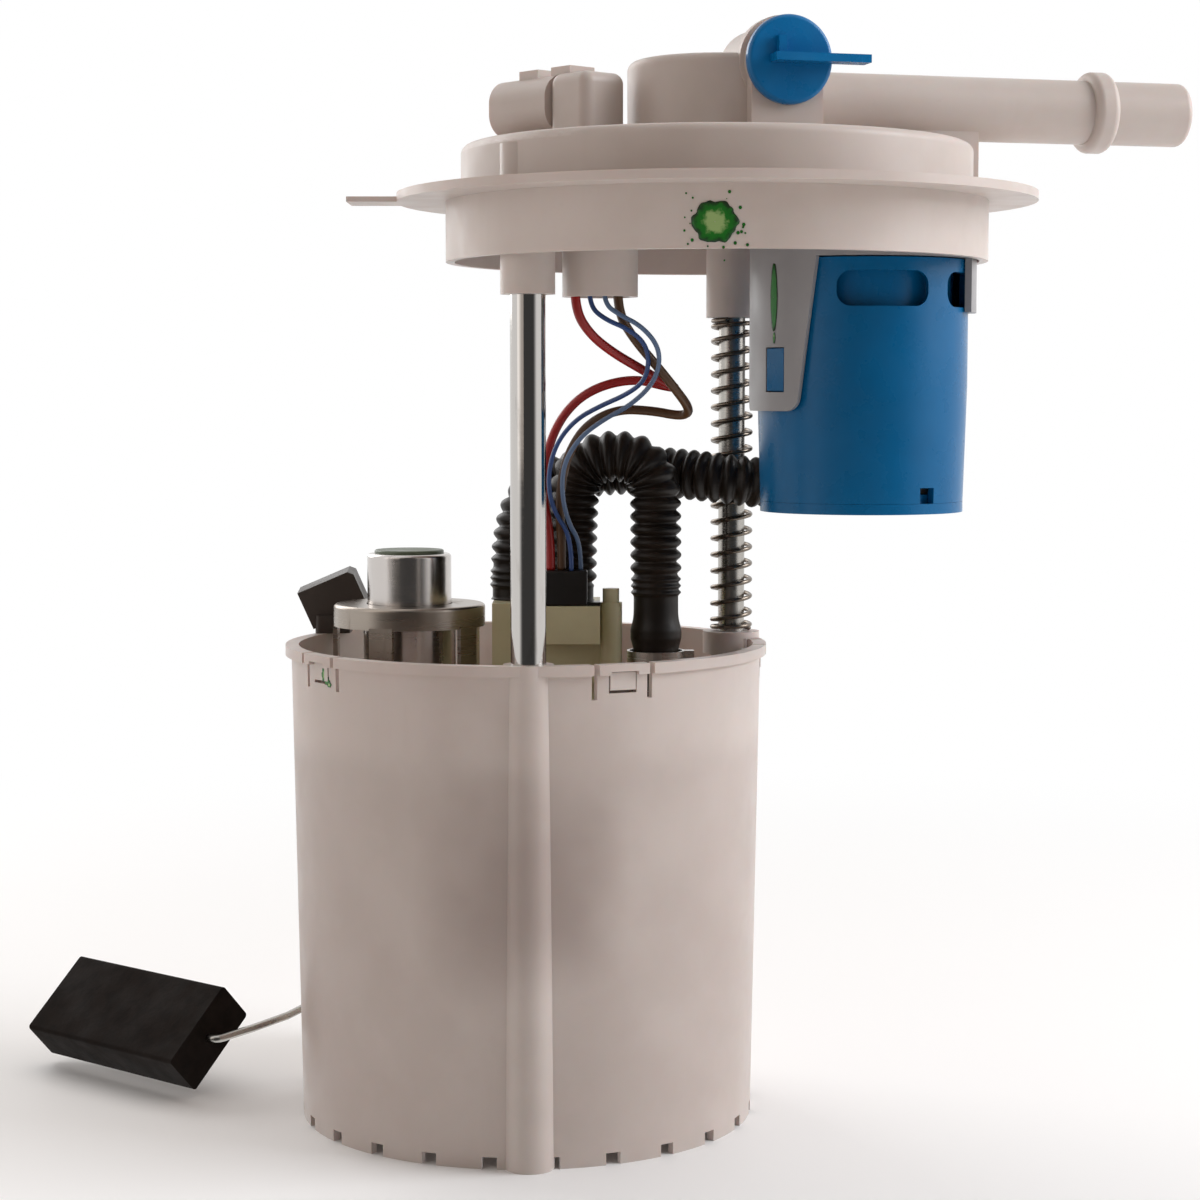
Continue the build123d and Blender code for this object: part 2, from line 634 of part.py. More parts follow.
with BuildPart() as regulator_retainer:
    post(FILTER, RETAINER_R, RETAINER_Z, RETAINER_TOP)
    post(FILTER, RETAINER_R - RETAINER_T, RETAINER_Z, RETAINER_TOP - RETAINER_T, mode=Mode.SUBTRACT)
    post(FILTER, REG_UPPER_R + GAP, RETAINER_Z, RETAINER_TOP, mode=Mode.SUBTRACT)
    post(FILTER, REG_FLANGE_R + GAP, RETAINER_Z, REG_FLANGE_Z + REG_WALL, mode=Mode.SUBTRACT)
    fillet(regulator_retainer.edges().group_by(Axis.Z)[-1].sort_by(SortBy.LENGTH)[-1], radius=REG_WALL)
    for leg in range(RETAINER_LEGS):
        angle = GROUP_TURN + RETAINER_PITCH * (2 * leg - 1) / 2
        with Locations(polar(RETAINER_R - RETAINER_T / 2, angle, (LID_TOP + RETAINER_Z) / 2, FILTER)):
            Box(RETAINER_T, RETAINER_LEG_W, RETAINER_Z - LID_TOP + RETAINER_T)
    block(BLOCK_LOW, BLOCK_HIGH, LID_TOP, RETAINER_TOP, mode=Mode.SUBTRACT)
    post(FILTER, RETAINER_R + RETAINER_T, LID_TOP - RETAINER_T, LID_TOP, mode=Mode.SUBTRACT)
regulator_retainer.part.label = "regulator_retainer"
export_step(regulator_retainer.part, "parts/regulator_retainer.step")

# Jet pump and foot valve on the reservoir's floor

JET_SPOT = (-12.0, -36.0)
JET_SIZE = (22.0, 10.0, 7.0)
JET_BORE_R = 1.8
FOOT_VALVE_R = 7.0
FOOT_VALVE_T = 1.2
FOOT_STEM_R = 1.5
FOOT_LIFT = 1.5

with BuildPart() as jet_pump:
    with Locations(Location((*grouped(*JET_SPOT), FLOOR_TOP), (0, 0, GROUP_TURN))):
        Box(*JET_SIZE, align=(Align.CENTER, Align.CENTER, Align.MIN))
        with Locations((0, 0, JET_SIZE[2] / 2)):
            Cylinder(JET_BORE_R, JET_SIZE[0], rotation=(0, 90, 0), mode=Mode.SUBTRACT)
    fillet(jet_pump.edges().filter_by(Axis.Z), radius=JET_BORE_R)
jet_pump.part.label = "jet_pump"
export_step(jet_pump.part, "parts/jet_pump.step")

with BuildPart() as foot_valve:
    post(grouped(*FOOT_HOLE), FOOT_VALVE_R, FLOOR_TOP + FIT, FLOOR_TOP + FIT + FOOT_VALVE_T)
    post(grouped(*FOOT_HOLE), FOOT_STEM_R, FLOOR_Z - FOOT_LIFT - FIT, FLOOR_TOP + FIT)
    post(grouped(*FOOT_HOLE), FOOT_HOLE_R + GAP, FLOOR_Z - FOOT_LIFT - 2 * FOOT_VALVE_T,
         FLOOR_Z - FOOT_LIFT - FIT)
foot_valve.part.label = "foot_valve"
export_step(foot_valve.part, "parts/foot_valve.step")


# Level sender: a bracket on the reservoir's side, the card housing, and the float arm

def sender_plane(distance):
    """Upright plane at a distance from the reservoir's axis: its x runs along the wall."""
    turn = radians(SENDER_ANGLE)
    return Plane(
        origin=(distance * cos(turn), distance * sin(turn), 0),
        x_dir=(-sin(turn), cos(turn), 0),
        z_dir=(cos(turn), sin(turn), 0),
    )


def rectangle(low, high):
    """Rectangle between two corners, added to the sketch being built."""
    with Locations(((low[0] + high[0]) / 2, (low[1] + high[1]) / 2)):
        Rectangle(high[0] - low[0], high[1] - low[1])


BRACKET_STEP_Z = 70.0
BRACKET_STEP = 1.2
BRACKET_RIB = 1.5
BRACKET_OUT = BRACKET_N + BRACKET_T
HOUSING_N = BRACKET_OUT + FIT
HOUSING_OUT = HOUSING_N + HOUSING_T
HOLDER_N = HOUSING_OUT + GAP
ARM_N = HOLDER_N + HOLDER_T / 2

with BuildPart() as sensor_bracket:
    with BuildSketch(sender_plane(BRACKET_N)):
        rectangle((BRACKET_ALONG[0], BRACKET_Z[0]), (BRACKET_ALONG[1] - BRACKET_STEP, BRACKET_STEP_Z))
        rectangle((BRACKET_ALONG[0], BRACKET_STEP_Z), (BRACKET_ALONG[1], BRACKET_Z[1]))
    extrude(amount=BRACKET_T)
    for along in (BRACKET_ALONG[0], -BRACKET_RIB, BRACKET_ALONG[1] - BRACKET_STEP - BRACKET_RIB):
        with BuildSketch(sender_plane(BRACKET_N)):
            rectangle((along, BRACKET_Z[0]), (along + BRACKET_RIB, BRACKET_Z[1] - LIP_H - FIT))
        extrude(amount=RES_FOOT_R / 2 - BRACKET_N)
    with BuildSketch(Plane.XZ):
        with BuildLine():
            Polyline((0, 0), (RES_FOOT_R + FIT, 0), (RES_R + FIT, RES_H), (0, RES_H), close=True)
        make_face()
    revolve(axis=Axis.Z, mode=Mode.SUBTRACT)
    with BuildSketch(Plane.XY.offset(RES_H - LIP_H - FIT)):
        Circle(LIP_R + FIT)
    extrude(amount=LIP_H, mode=Mode.SUBTRACT)
sensor_bracket.part.label = "sensor_bracket"
export_step(sensor_bracket.part, "parts/sensor_bracket.step")

CARD_EDGE = 3.0
CARD_RISE = 10.0
CARD_LOW = (HOUSING_ALONG[0] + CARD_EDGE, PIVOT[1] + CARD_RISE)
CARD_HIGH = (HOUSING_ALONG[1] - CARD_EDGE, HOUSING_Z[1] - CARD_EDGE)
CARD_T = 0.7

with BuildPart() as level_sensor_housing:
    with BuildSketch(sender_plane(HOUSING_N)):
        rectangle((HOUSING_ALONG[0], HOUSING_Z[0]), (HOUSING_ALONG[1], HOUSING_Z[1]))
    extrude(amount=HOUSING_T)
    corners = level_sensor_housing.edges().filter_by(Axis((0, 0, 0), sender_plane(0).z_dir))
    fillet(corners, radius=HOUSING_T / 2)
    with BuildSketch(sender_plane(HOUSING_OUT)):
        rectangle((CARD_LOW[0] - FIT, CARD_LOW[1] - FIT), (CARD_HIGH[0] + FIT, CARD_HIGH[1] + FIT))
    extrude(amount=-CARD_T, mode=Mode.SUBTRACT)
    with BuildSketch(sender_plane(HOUSING_OUT)):
        with Locations(PIVOT):
            Circle(PIVOT_R)
    extrude(amount=GAP + HOLDER_T + GAP)
level_sensor_housing.part.label = "level_sensor_housing"
export_step(level_sensor_housing.part, "parts/level_sensor_housing.step")

with BuildPart() as sensor_card:
    with BuildSketch(sender_plane(HOUSING_OUT - CARD_T)):
        rectangle(CARD_LOW, CARD_HIGH)
    extrude(amount=CARD_T - FIT)
sensor_card.part.label = "sensor_card"
export_step(sensor_card.part, "parts/sensor_card.step")

ARM_START = (PIVOT[0] + HOLDER_R + ARM_R, PIVOT[1] - ARM_R * 2)
ARM_ROUTE = (
    ARM_START,
    (0.0, 19.5),
    (20.0, 15.8),
    (32.0, 14.8),
    FLOAT_SPOT,
)
FLOAT_CLEAR = 2.6
ARM_TAIL = 3.0
FLOAT_NEAR_N = ARM_N + FLOAT_CLEAR
FLOAT_FAR_N = FLOAT_NEAR_N + FLOAT_L
ARM_END_N = FLOAT_FAR_N + ARM_TAIL
ARM_BEND_R = 2.2
ARM_SOFT_R = 12.0


def sender_point(along, height, distance):
    """Point of the sender in the part's frame, from its own plane."""
    return sender_plane(distance).from_local_coords((along, height, 0))


with BuildPart() as wiper_holder:
    with BuildSketch(sender_plane(HOLDER_N)):
        with Locations(PIVOT):
            Circle(HOLDER_R)
        rectangle((PIVOT[0], PIVOT[1] - HOLDER_R), (ARM_START[0] + HOLDER_R, PIVOT[1] + HOLDER_R / 2))
        rectangle((PIVOT[0] - HOLDER_R / 2, PIVOT[1]), (PIVOT[0] + HOLDER_R / 2, PIVOT[1] + 4 * HOLDER_R))
    extrude(amount=HOLDER_T)
    with BuildSketch(sender_plane(HOLDER_N)):
        with Locations(PIVOT):
            Circle(PIVOT_R + RUN)
    extrude(amount=HOLDER_T, mode=Mode.SUBTRACT)
    with BuildLine(mode=Mode.PRIVATE) as groove_path:
        Line(sender_point(*ARM_ROUTE[0], ARM_N), sender_point(*ARM_ROUTE[1], ARM_N))
    with BuildSketch(Plane(origin=groove_path.line @ 0, z_dir=groove_path.line % 0)):
        Circle(ARM_R + FIT)
    extrude(amount=4 * HOLDER_R, mode=Mode.SUBTRACT)
wiper_holder.part.label = "wiper_holder"
export_step(wiper_holder.part, "parts/wiper_holder.step")

with BuildPart() as float_arm:
    with BuildLine() as arm_path:
        FilletPolyline(
            *[sender_point(*spot, ARM_N) for spot in ARM_ROUTE],
            sender_point(*FLOAT_SPOT, ARM_END_N),
            radius=[ARM_SOFT_R, ARM_SOFT_R, ARM_SOFT_R, ARM_BEND_R],
        )
    with BuildSketch(Plane(origin=arm_path.line @ 0, z_dir=arm_path.line % 0)):
        Circle(ARM_R)
    sweep()
float_arm.part.label = "float_arm"
export_step(float_arm.part, "parts/float_arm.step")

with BuildPart() as fuel_float:
    with BuildSketch(sender_plane(FLOAT_NEAR_N)):
        with Locations(Location((*FLOAT_SPOT, 0), (0, 0, FLOAT_TILT))):
            RectangleRounded(FLOAT_W, FLOAT_T, ARM_R)
            Circle(ARM_R + RUN, mode=Mode.SUBTRACT)
    extrude(amount=FLOAT_L)
fuel_float.part.label = "fuel_float"
export_step(fuel_float.part, "parts/fuel_float.step")

with BuildPart() as float_clip:
    with BuildSketch(sender_plane(FLOAT_FAR_N + GAP)):
        with Locations(FLOAT_SPOT):
            Circle(3 * ARM_R)
            Circle(ARM_R + FIT, mode=Mode.SUBTRACT)
    extrude(amount=ARM_R)
float_clip.part.label = "float_clip"
export_step(float_clip.part, "parts/float_clip.step")

SOCKET_ALONG = 12.0
SOCKET_INSET = 2.7
SOCKET_AT = sender_point(SOCKET_ALONG, 0, BRACKET_N - SOCKET_INSET)
SOCKET_LEAN = 24.0
SOCKET_L = 15.0
SOCKET_W = 10.0
SOCKET_H = 9.0
SOCKET_WALL = 1.2

with BuildPart() as sensor_connector:
    with BuildSketch(Plane.XY.offset(RES_H + FIT)):
        with Locations(Location((SOCKET_AT.X, SOCKET_AT.Y, 0), (0, 0, GROUP_TURN))):
            RectangleRounded(SOCKET_W - SOCKET_WALL, SOCKET_H, SOCKET_WALL)
    extrude(amount=SOCKET_H / 2)
    with Locations(Location((SOCKET_AT.X, SOCKET_AT.Y, RES_H + SOCKET_H), (0, -SOCKET_LEAN, GROUP_TURN))):
        Box(SOCKET_L, SOCKET_H, SOCKET_W)
    chamfer(sensor_connector.edges().filter_by(GeomType.LINE).group_by(Axis.Z)[-1], length=SOCKET_WALL)
sensor_connector.part.label = "sensor_connector"
export_step(sensor_connector.part, "parts/sensor_connector.step")

# Hoses and wires between the cover and the pump group, in the pump group's layout

WIRE_TOP = 199.0
WIRE_FOOT = BLOCK_TOP + PLUG_H + FIT
PUMP_HOSE_ROUTE = (
    (11.0, -2.0, BLOCK_TOP + FIT),
    (11.0, -2.0, 143.0),
    (12.4, -3.0, 160.3),
    (31.2, -5.6, 160.3),
    (31.5, -6.0, 140.0),
    (31.5, -6.0, NECK_TOP + FIT),
)
COVER_HOSE_ROUTE = (
    (-3.0, 5.0, BLOCK_TOP + FIT),
    (-3.0, 5.0, 140.5),
    (2.0, 9.0, 153.0),
    (20.0, 12.4, 157.0),
    (36.0, 6.4, 156.0),
    (50.0, 0.8, 154.5),
    (62.0, 5.0, 153.0),
    (67.5, 17.0, 160.0),
    (66.0, 21.0, 176.0),
    (66.0, 21.0, HOSE_BOSS_Z - FIT),
)
RED_ROUTE = (
    (12.4, -45.4, WIRE_TOP),
    (12.4, -45.4, 194.0),
    (15.8, -42.4, 188.6),
    (21.0, -38.6, 184.6),
    (27.0, -34.6, 181.2),
    (32.2, -31.0, 178.2),
    (35.1, -28.8, 176.9),
    (35.4, -25.8, 176.7),
    (32.6, -24.2, 177.2),
    (26.4, -23.6, 178.8),
    (18.6, -22.2, 177.4),
    (12.2, -20.8, 173.8),
    (7.4, -19.6, 167.4),
    (5.0, -17.8, 159.4),
    (4.6, -15.6, 150.4),
    (6.2, -13.4, 142.0),
    (6.2, -13.4, WIRE_FOOT),
)
BROWN_ROUTE = (
    (22.0, -40.6, WIRE_TOP),
    (22.0, -40.6, 193.6),
    (25.8, -38.6, 187.6),
    (31.0, -36.2, 181.6),
    (35.6, -33.4, 176.0),
    (38.2, -30.2, 172.6),
    (38.6, -27.4, 170.8),
    (36.2, -25.8, 170.2),
    (30.2, -25.4, 171.4),
    (22.0, -24.6, 171.8),
    (14.8, -23.2, 168.2),
    (10.6, -21.4, 161.6),
    (8.8, -19.0, 154.4),
    (8.4, -16.4, 147.4),
    (8.8, -12.9, 141.6),
    (8.8, -12.9, WIRE_FOOT),
)
BLUE_ROUTE = (
    (15.6, -43.4, WIRE_TOP),
    (15.6, -43.4, 195.0),
    (19.2, -43.0, 192.0),
    (24.2, -42.4, 190.0),
    (28.2, -40.6, 186.8),
    (29.2, -38.4, 182.4),
    (28.0, -35.6, 178.0),
    (23.8, -31.0, 175.0),
    (18.2, -27.8, 172.6),
    (12.0, -25.6, 169.2),
    (7.4, -23.2, 163.2),
    (5.6, -20.6, 155.2),
    (7.0, -18.4, 147.6),
    (11.2, -15.0, 141.6),
    (11.2, -15.0, WIRE_FOOT),
)
GREY_ROUTE = (
    (18.9, -46.6, WIRE_TOP),
    (18.9, -46.6, 195.4),
    (22.4, -45.4, 193.0),
    (27.2, -44.2, 190.6),
    (31.0, -42.4, 186.4),
    (31.6, -40.0, 181.8),
    (29.6, -36.9, 177.0),
    (24.8, -32.4, 172.6),
    (18.8, -29.6, 169.4),
    (13.2, -27.6, 165.2),
    (9.4, -24.6, 159.0),
    (9.0, -21.6, 151.4),
    (10.6, -18.2, 144.8),
    (13.4, -12.6, 139.6),
    (13.4, -12.6, WIRE_FOOT),
)

pump_hose = cord_tube("pump_hose", PUMP_HOSE_ROUTE, HOSE_R, HOSE_BORE_R)
pump_hose.part.label = "pump_hose"
export_step(pump_hose.part, "parts/pump_hose.step")

cover_hose = cord_tube("cover_hose", COVER_HOSE_ROUTE, HOSE_R, HOSE_BORE_R)
cover_hose.part.label = "cover_hose"
export_step(cover_hose.part, "parts/cover_hose.step")

red_wire = cord_tube("red_wire", RED_ROUTE, POWER_WIRE_R, 0.0)
red_wire.part.label = "red_wire"
export_step(red_wire.part, "parts/red_wire.step")

brown_wire = cord_tube("brown_wire", BROWN_ROUTE, POWER_WIRE_R, 0.0)
brown_wire.part.label = "brown_wire"
export_step(brown_wire.part, "parts/brown_wire.step")

blue_wire = cord_tube("blue_wire", BLUE_ROUTE, SIGNAL_WIRE_R, 0.0)
blue_wire.part.label = "blue_wire"
export_step(blue_wire.part, "parts/blue_wire.step")

grey_wire = cord_tube("grey_wire", GREY_ROUTE, SIGNAL_WIRE_R, 0.0)
grey_wire.part.label = "grey_wire"
export_step(grey_wire.part, "parts/grey_wire.step")

CLAMP_Z = NECK_TOP + NIPPLE_H - CLAMP_H / 2

with BuildPart() as hose_clamp:
    post(OUTLET, HOSE_R + FIT + CLAMP_T, CLAMP_Z, CLAMP_Z + CLAMP_H)
    with Locations(Location((*grouped(OUTLET_SPOT[0] + HOSE_R + CLAMP_H / 2, OUTLET_SPOT[1]),
                             CLAMP_Z + CLAMP_H / 2), (0, 0, GROUP_TURN))):
        Box(CLAMP_H, CLAMP_H, CLAMP_H)
    post(OUTLET, HOSE_R + 4 * FIT, CLAMP_Z, CLAMP_Z + CLAMP_H, mode=Mode.SUBTRACT)
hose_clamp.part.label = "hose_clamp"
export_step(hose_clamp.part, "parts/hose_clamp.step")

with BuildPart() as pump_connector:
    block(PLUG_LOW, PLUG_HIGH, BLOCK_TOP, BLOCK_TOP + PLUG_H)
    fillet(pump_connector.edges(), radius=FIT * 10)
    block((PLUG_HIGH[0], PLUG_LOW[1] + POWER_WIRE_R), (BLOCK_HIGH[0], PLUG_HIGH[1] - POWER_WIRE_R),
          BLOCK_TOP, BLOCK_TOP + POWER_WIRE_R)
pump_connector.part.label = "pump_connector"
export_step(pump_connector.part, "parts/pump_connector.step")

# Guide rods, pressed into the cover, with a stop at the lower end of each

with BuildPart() as front_guide_rod:
    post(FRONT_ROD, FRONT_ROD_R, ROD_END_Z, FRONT_BOSS_Z + ROD_SEAT)
    post(FRONT_ROD, FRONT_ROD_R - ROD_WALL, ROD_END_Z, FRONT_BOSS_Z + ROD_SEAT, mode=Mode.SUBTRACT)
front_guide_rod.part.label = "front_guide_rod"
export_step(front_guide_rod.part, "parts/front_guide_rod.step")

with BuildPart() as rear_guide_rod:
    post(REAR_ROD, REAR_ROD_R, ROD_END_Z, REAR_BOSS_Z + ROD_SEAT)
    post(REAR_ROD, REAR_ROD_R - ROD_WALL, ROD_END_Z, REAR_BOSS_Z + ROD_SEAT, mode=Mode.SUBTRACT)
rear_guide_rod.part.label = "rear_guide_rod"
export_step(rear_guide_rod.part, "parts/rear_guide_rod.step")

with BuildPart() as rod_stops:
    for rod, rod_r in ((FRONT_ROD, FRONT_ROD_R), (REAR_ROD, REAR_ROD_R)):
        post(rod, rod_r + STOP_LIP, ROD_END_Z - STOP_H, ROD_END_Z)
        post(rod, rod_r - ROD_WALL - FIT, ROD_END_Z, ROD_END_Z + STOP_SPIGOT)
rod_stops.part.label = "rod_stops"
export_step(rod_stops.part, "parts/rod_stops.step")

with BuildPart() as rod_spring:
    with BuildLine():
        coil = Helix(
            pitch=SPRING_PITCH,
            height=REAR_BOSS_Z - REAR_SEAT_Z - 2 * SPRING_WIRE_R - 2 * FIT,
            radius=SPRING_R,
            center=(REAR_ROD[0], REAR_ROD[1], REAR_SEAT_Z + SPRING_WIRE_R + FIT),
        )
    with BuildSketch(Plane(origin=coil @ 0, z_dir=coil % 0)):
        Circle(SPRING_WIRE_R)
    sweep(is_frenet=True)
rod_spring.part.label = "rod_spring"
export_step(rod_spring.part, "parts/rod_spring.step")

# Cover: flange disc, skirt, platform, dome, vapour pipe, fuel port and the bosses below

WIRE_BOSS = grouped(*WIRE_BOSS_SPOT)
HOSE_BOSS = grouped(*HOSE_BOSS_SPOT)
DISC_TOP = DISC_Z + DISC_T
PORT_START_Y = COVER[1] - DOME_WALL
PORT_L = PORT_START_Y - PORT_END_Y
SADDLE_START_X = COVER[0] + DOME_R - DOME_WALL - 2 * GAP

with BuildPart() as cover:
    with BuildSketch(upright(COVER)):
        with BuildLine():
            Polyline(
                (0, DOME_Z),
                (DOME_R, DOME_Z),
                (DOME_R, PLATFORM_Z),
                (PLATFORM_R, PLATFORM_Z),
                (PLATFORM_R, DISC_TOP),
                (DISC_R, DISC_TOP),
                (DISC_R, DISC_Z),
                (SKIRT_R, DISC_Z),
                (SKIRT_R, SKIRT_Z),
                (SKIRT_R - SKIRT_WALL, SKIRT_Z),
                (SKIRT_R - SKIRT_WALL, DISC_Z),
                (PLATFORM_R - PLATFORM_WALL, DISC_Z),
                (PLATFORM_R - PLATFORM_WALL, BOSS_TOP),
                (DOME_R - DOME_WALL, BOSS_TOP),
                (DOME_R - DOME_WALL, DOME_Z - DOME_WALL),
                (0, DOME_Z - DOME_WALL),
                close=True,
            )
        make_face()
    revolve(axis=spin_axis(COVER))
    fillet(cover.edges().filter_by(GeomType.CIRCLE).group_by(Axis.Z)[-1], radius=DOME_WALL)
    fillet(cover.edges().filter_by(GeomType.CIRCLE).filter_by(
        lambda edge: abs(edge.radius - PLATFORM_R) < FIT and edge.center().Z > DISC_TOP + FIT), radius=DISC_T)
    with Locations(polar(DISC_R, TAB_ANGLE, DISC_Z, COVER)):
        Box(2 * TAB_REACH, TAB_W, TAB_T, align=(Align.CENTER, Align.CENTER, Align.MIN))
    for start, low in (
        (SADDLE_START_X, BOSS_TOP),
        (COVER[0] + PLATFORM_R - PLATFORM_WALL / 2, DISC_TOP),
    ):
        with Locations(((start + SADDLE_END_X) / 2, COVER[1], (low + PIPE_Z) / 2)):
            Box(SADDLE_END_X - start, SADDLE_W, PIPE_Z - low)
    post(FRONT_ROD, FRONT_BOSS_R, FRONT_BOSS_Z, BOSS_TOP)
    post(REAR_ROD, REAR_BOSS_R, REAR_BOSS_Z, BOSS_TOP)
    post(WIRE_BOSS, WIRE_BOSS_R, WIRE_BOSS_Z, BOSS_TOP)
    post(HOSE_BOSS, HOSE_BOSS_R, HOSE_BOSS_Z, BOSS_TOP)
    post(HOSE_BOSS, NIPPLE_R, HOSE_BOSS_Z - NIPPLE_H, HOSE_BOSS_Z)
    post(HOSE_BOSS, NIPPLE_BORE_R, HOSE_BOSS_Z - NIPPLE_H, BOSS_TOP - PLATFORM_WALL, mode=Mode.SUBTRACT)
    post(FRONT_ROD, FRONT_ROD_R + FIT, FRONT_BOSS_Z, FRONT_BOSS_Z + ROD_SEAT, mode=Mode.SUBTRACT)
    post(REAR_ROD, REAR_ROD_R + FIT, REAR_BOSS_Z, REAR_BOSS_Z + ROD_SEAT, mode=Mode.SUBTRACT)
    post(WIRE_BOSS, WIRE_BOSS_BORE_R, WIRE_BOSS_Z, BOSS_TOP - PLATFORM_WALL, mode=Mode.SUBTRACT)
    with Locations(Location((SADDLE_START_X, COVER[1], PIPE_Z), (0, 90, 0))):
        Cylinder(PIPE_R, PIPE_END_X - SADDLE_START_X, align=(Align.CENTER, Align.CENTER, Align.MIN))
    with Locations(Location((BEAD_X, COVER[1], PIPE_Z), (0, 90, 0))):
        Cylinder(BEAD_R, BEAD_L, align=(Align.CENTER, Align.CENTER, Align.MIN))
    rims = cover.edges().filter_by(GeomType.CIRCLE).filter_by(lambda edge: edge.center().X > SADDLE_END_X)
    fillet(rims.filter_by(lambda edge: abs(edge.radius - BEAD_R) < FIT), radius=BEAD_R - PIPE_R - GAP)
    fillet(cover.edges().filter_by(GeomType.CIRCLE).group_by(Axis.X)[-1], radius=PIPE_R - PIPE_BORE_R - GAP)
    with Locations(Location((COVER[0] + DOME_R + DOME_WALL, COVER[1], PIPE_Z), (0, 90, 0))):
        Cylinder(PIPE_BORE_R, PIPE_END_X, align=(Align.CENTER, Align.CENTER, Align.MIN), mode=Mode.SUBTRACT)
    with Locations(Location((PORT_X, PORT_START_Y, PORT_Z), (90, 0, 0))):
        Cylinder(PORT_R, PORT_L, align=(Align.CENTER, Align.CENTER, Align.MIN))
    with Locations((PORT_X, PORT_START_Y - PORT_L / 2, (BOSS_TOP + PORT_Z) / 2)):
        Box(PORT_BASE_W, PORT_L, PORT_Z - BOSS_TOP)
    with Locations(Location((PORT_X, PORT_END_Y + 2 * COLLAR_T, PORT_Z), (90, 0, 0))):
        Cylinder(COLLAR_R, COLLAR_T, align=(Align.CENTER, Align.CENTER, Align.MIN))
    with Locations(Location((PORT_X, PORT_END_Y, PORT_Z), (-90, 0, 0))):
        Cylinder(PORT_BORE_R, PORT_DEPTH, align=(Align.CENTER, Align.CENTER, Align.MIN), mode=Mode.SUBTRACT)
cover.part.label = "cover"
export_step(cover.part, "parts/cover.step")

TERMINAL_BLOCK_Z = 199.0

with BuildPart() as terminal_block:
    post(WIRE_BOSS, WIRE_BOSS_BORE_R - FIT, TERMINAL_BLOCK_Z + FIT, BOSS_TOP - PLATFORM_WALL - FIT)
terminal_block.part.label = "terminal_block"
export_step(terminal_block.part, "parts/terminal_block.step")

# Dust plug in the fuel port

PLUG_FACE_Y = PORT_END_Y - GAP - PLUG_DISC_T

with BuildPart() as dust_plug:
    with Locations(Location((PORT_X, PORT_END_Y - GAP, PORT_Z), (90, 0, 0))):
        Cylinder(PLUG_DISC_R, PLUG_DISC_T, align=(Align.CENTER, Align.CENTER, Align.MIN))
    fillet(dust_plug.edges().group_by(Axis.Y)[0], radius=PLUG_DISC_T / 2)
    with Locations(Location((PORT_X, PORT_END_Y - GAP, PORT_Z), (-90, 0, 0))):
        Cylinder(PORT_BORE_R - RUN, PLUG_SPIGOT_L, align=(Align.CENTER, Align.CENTER, Align.MIN))
        Cylinder(PORT_BORE_R - RUN - PLUG_WALL, PLUG_SPIGOT_L, align=(Align.CENTER, Align.CENTER, Align.MIN),
                 mode=Mode.SUBTRACT)
    with Locations((PORT_X + (BLADE_REACH - BLADE_W) / 2, PLUG_FACE_Y - BLADE_W / 2, PORT_Z)):
        Box(BLADE_REACH + BLADE_W, BLADE_W, BLADE_T)
    with Locations((PORT_X - BLADE_W / 2, PLUG_FACE_Y - BLADE_T / 2, PORT_Z + BLADE_W / 2)):
        Box(BLADE_T, BLADE_T, BLADE_W)
dust_plug.part.label = "dust_plug"
export_step(dust_plug.part, "parts/dust_plug.step")

# Electrical connector on the platform

CONNECTOR_PLACE = Location((*CONNECTOR_AT, PLATFORM_Z + FIT), (0, 0, CONNECTOR_ANGLE))
MOUTH_PLANE = Plane(
    origin=(*CONNECTOR_AT, CAPSULE_Z),
    x_dir=(-sin(radians(CONNECTOR_ANGLE)), cos(radians(CONNECTOR_ANGLE)), 0),
    z_dir=(cos(radians(CONNECTOR_ANGLE)), sin(radians(CONNECTOR_ANGLE)), 0),
)
MOUTH_OFFSET = CONNECTOR_BLOCK[0] / 2

with BuildPart() as electrical_connector:
    with Locations(CONNECTOR_PLACE):
        Box(*CONNECTOR_BLOCK, align=(Align.CENTER, Align.CENTER, Align.MIN))
    fillet(electrical_connector.edges().filter_by(Axis.Z), radius=2 * CAPSULE_WALL)
    fillet(electrical_connector.edges().group_by(Axis.Z)[-1], radius=2 * CAPSULE_WALL)
    with BuildSketch(MOUTH_PLANE.offset(MOUTH_OFFSET)):
        RectangleRounded(CAPSULE_W, CAPSULE_H, CAPSULE_H / 2 - CAPSULE_WALL)
    extrude(amount=CAPSULE_L)
    with BuildSketch(MOUTH_PLANE.offset(MOUTH_OFFSET + CAPSULE_L)):
        RectangleRounded(CAPSULE_W - 2 * CAPSULE_WALL, CAPSULE_H - 2 * CAPSULE_WALL,
                         CAPSULE_H / 2 - 2 * CAPSULE_WALL)
    extrude(amount=CAPSULE_FLOOR - CAPSULE_L, mode=Mode.SUBTRACT)
    for offset in (-CAPSULE_WALL, CAPSULE_L / 2):
        with Locations(CONNECTOR_PLACE):
            with Locations((MOUTH_OFFSET + offset, 0, CONNECTOR_BLOCK[2] + CAPSULE_WALL / 2)):
                Box(CAPSULE_L / 3, CAPSULE_W / 2, CAPSULE_WALL + 1)
electrical_connector.part.label = "electrical_connector"
export_step(electrical_connector.part, "parts/electrical_connector.step")

with BuildPart() as connector_terminals:
    with BuildSketch(MOUTH_PLANE.offset(MOUTH_OFFSET + CAPSULE_FLOOR)):
        with GridLocations(TERMINAL_PITCH, 0, TERMINALS, 1):
            Rectangle(TERMINAL_W, 2 * TERMINAL_W)
    extrude(amount=TERMINAL_L)
connector_terminals.part.label = "connector_terminals"
export_step(connector_terminals.part, "parts/connector_terminals.step")

# Vent valve and its bracket

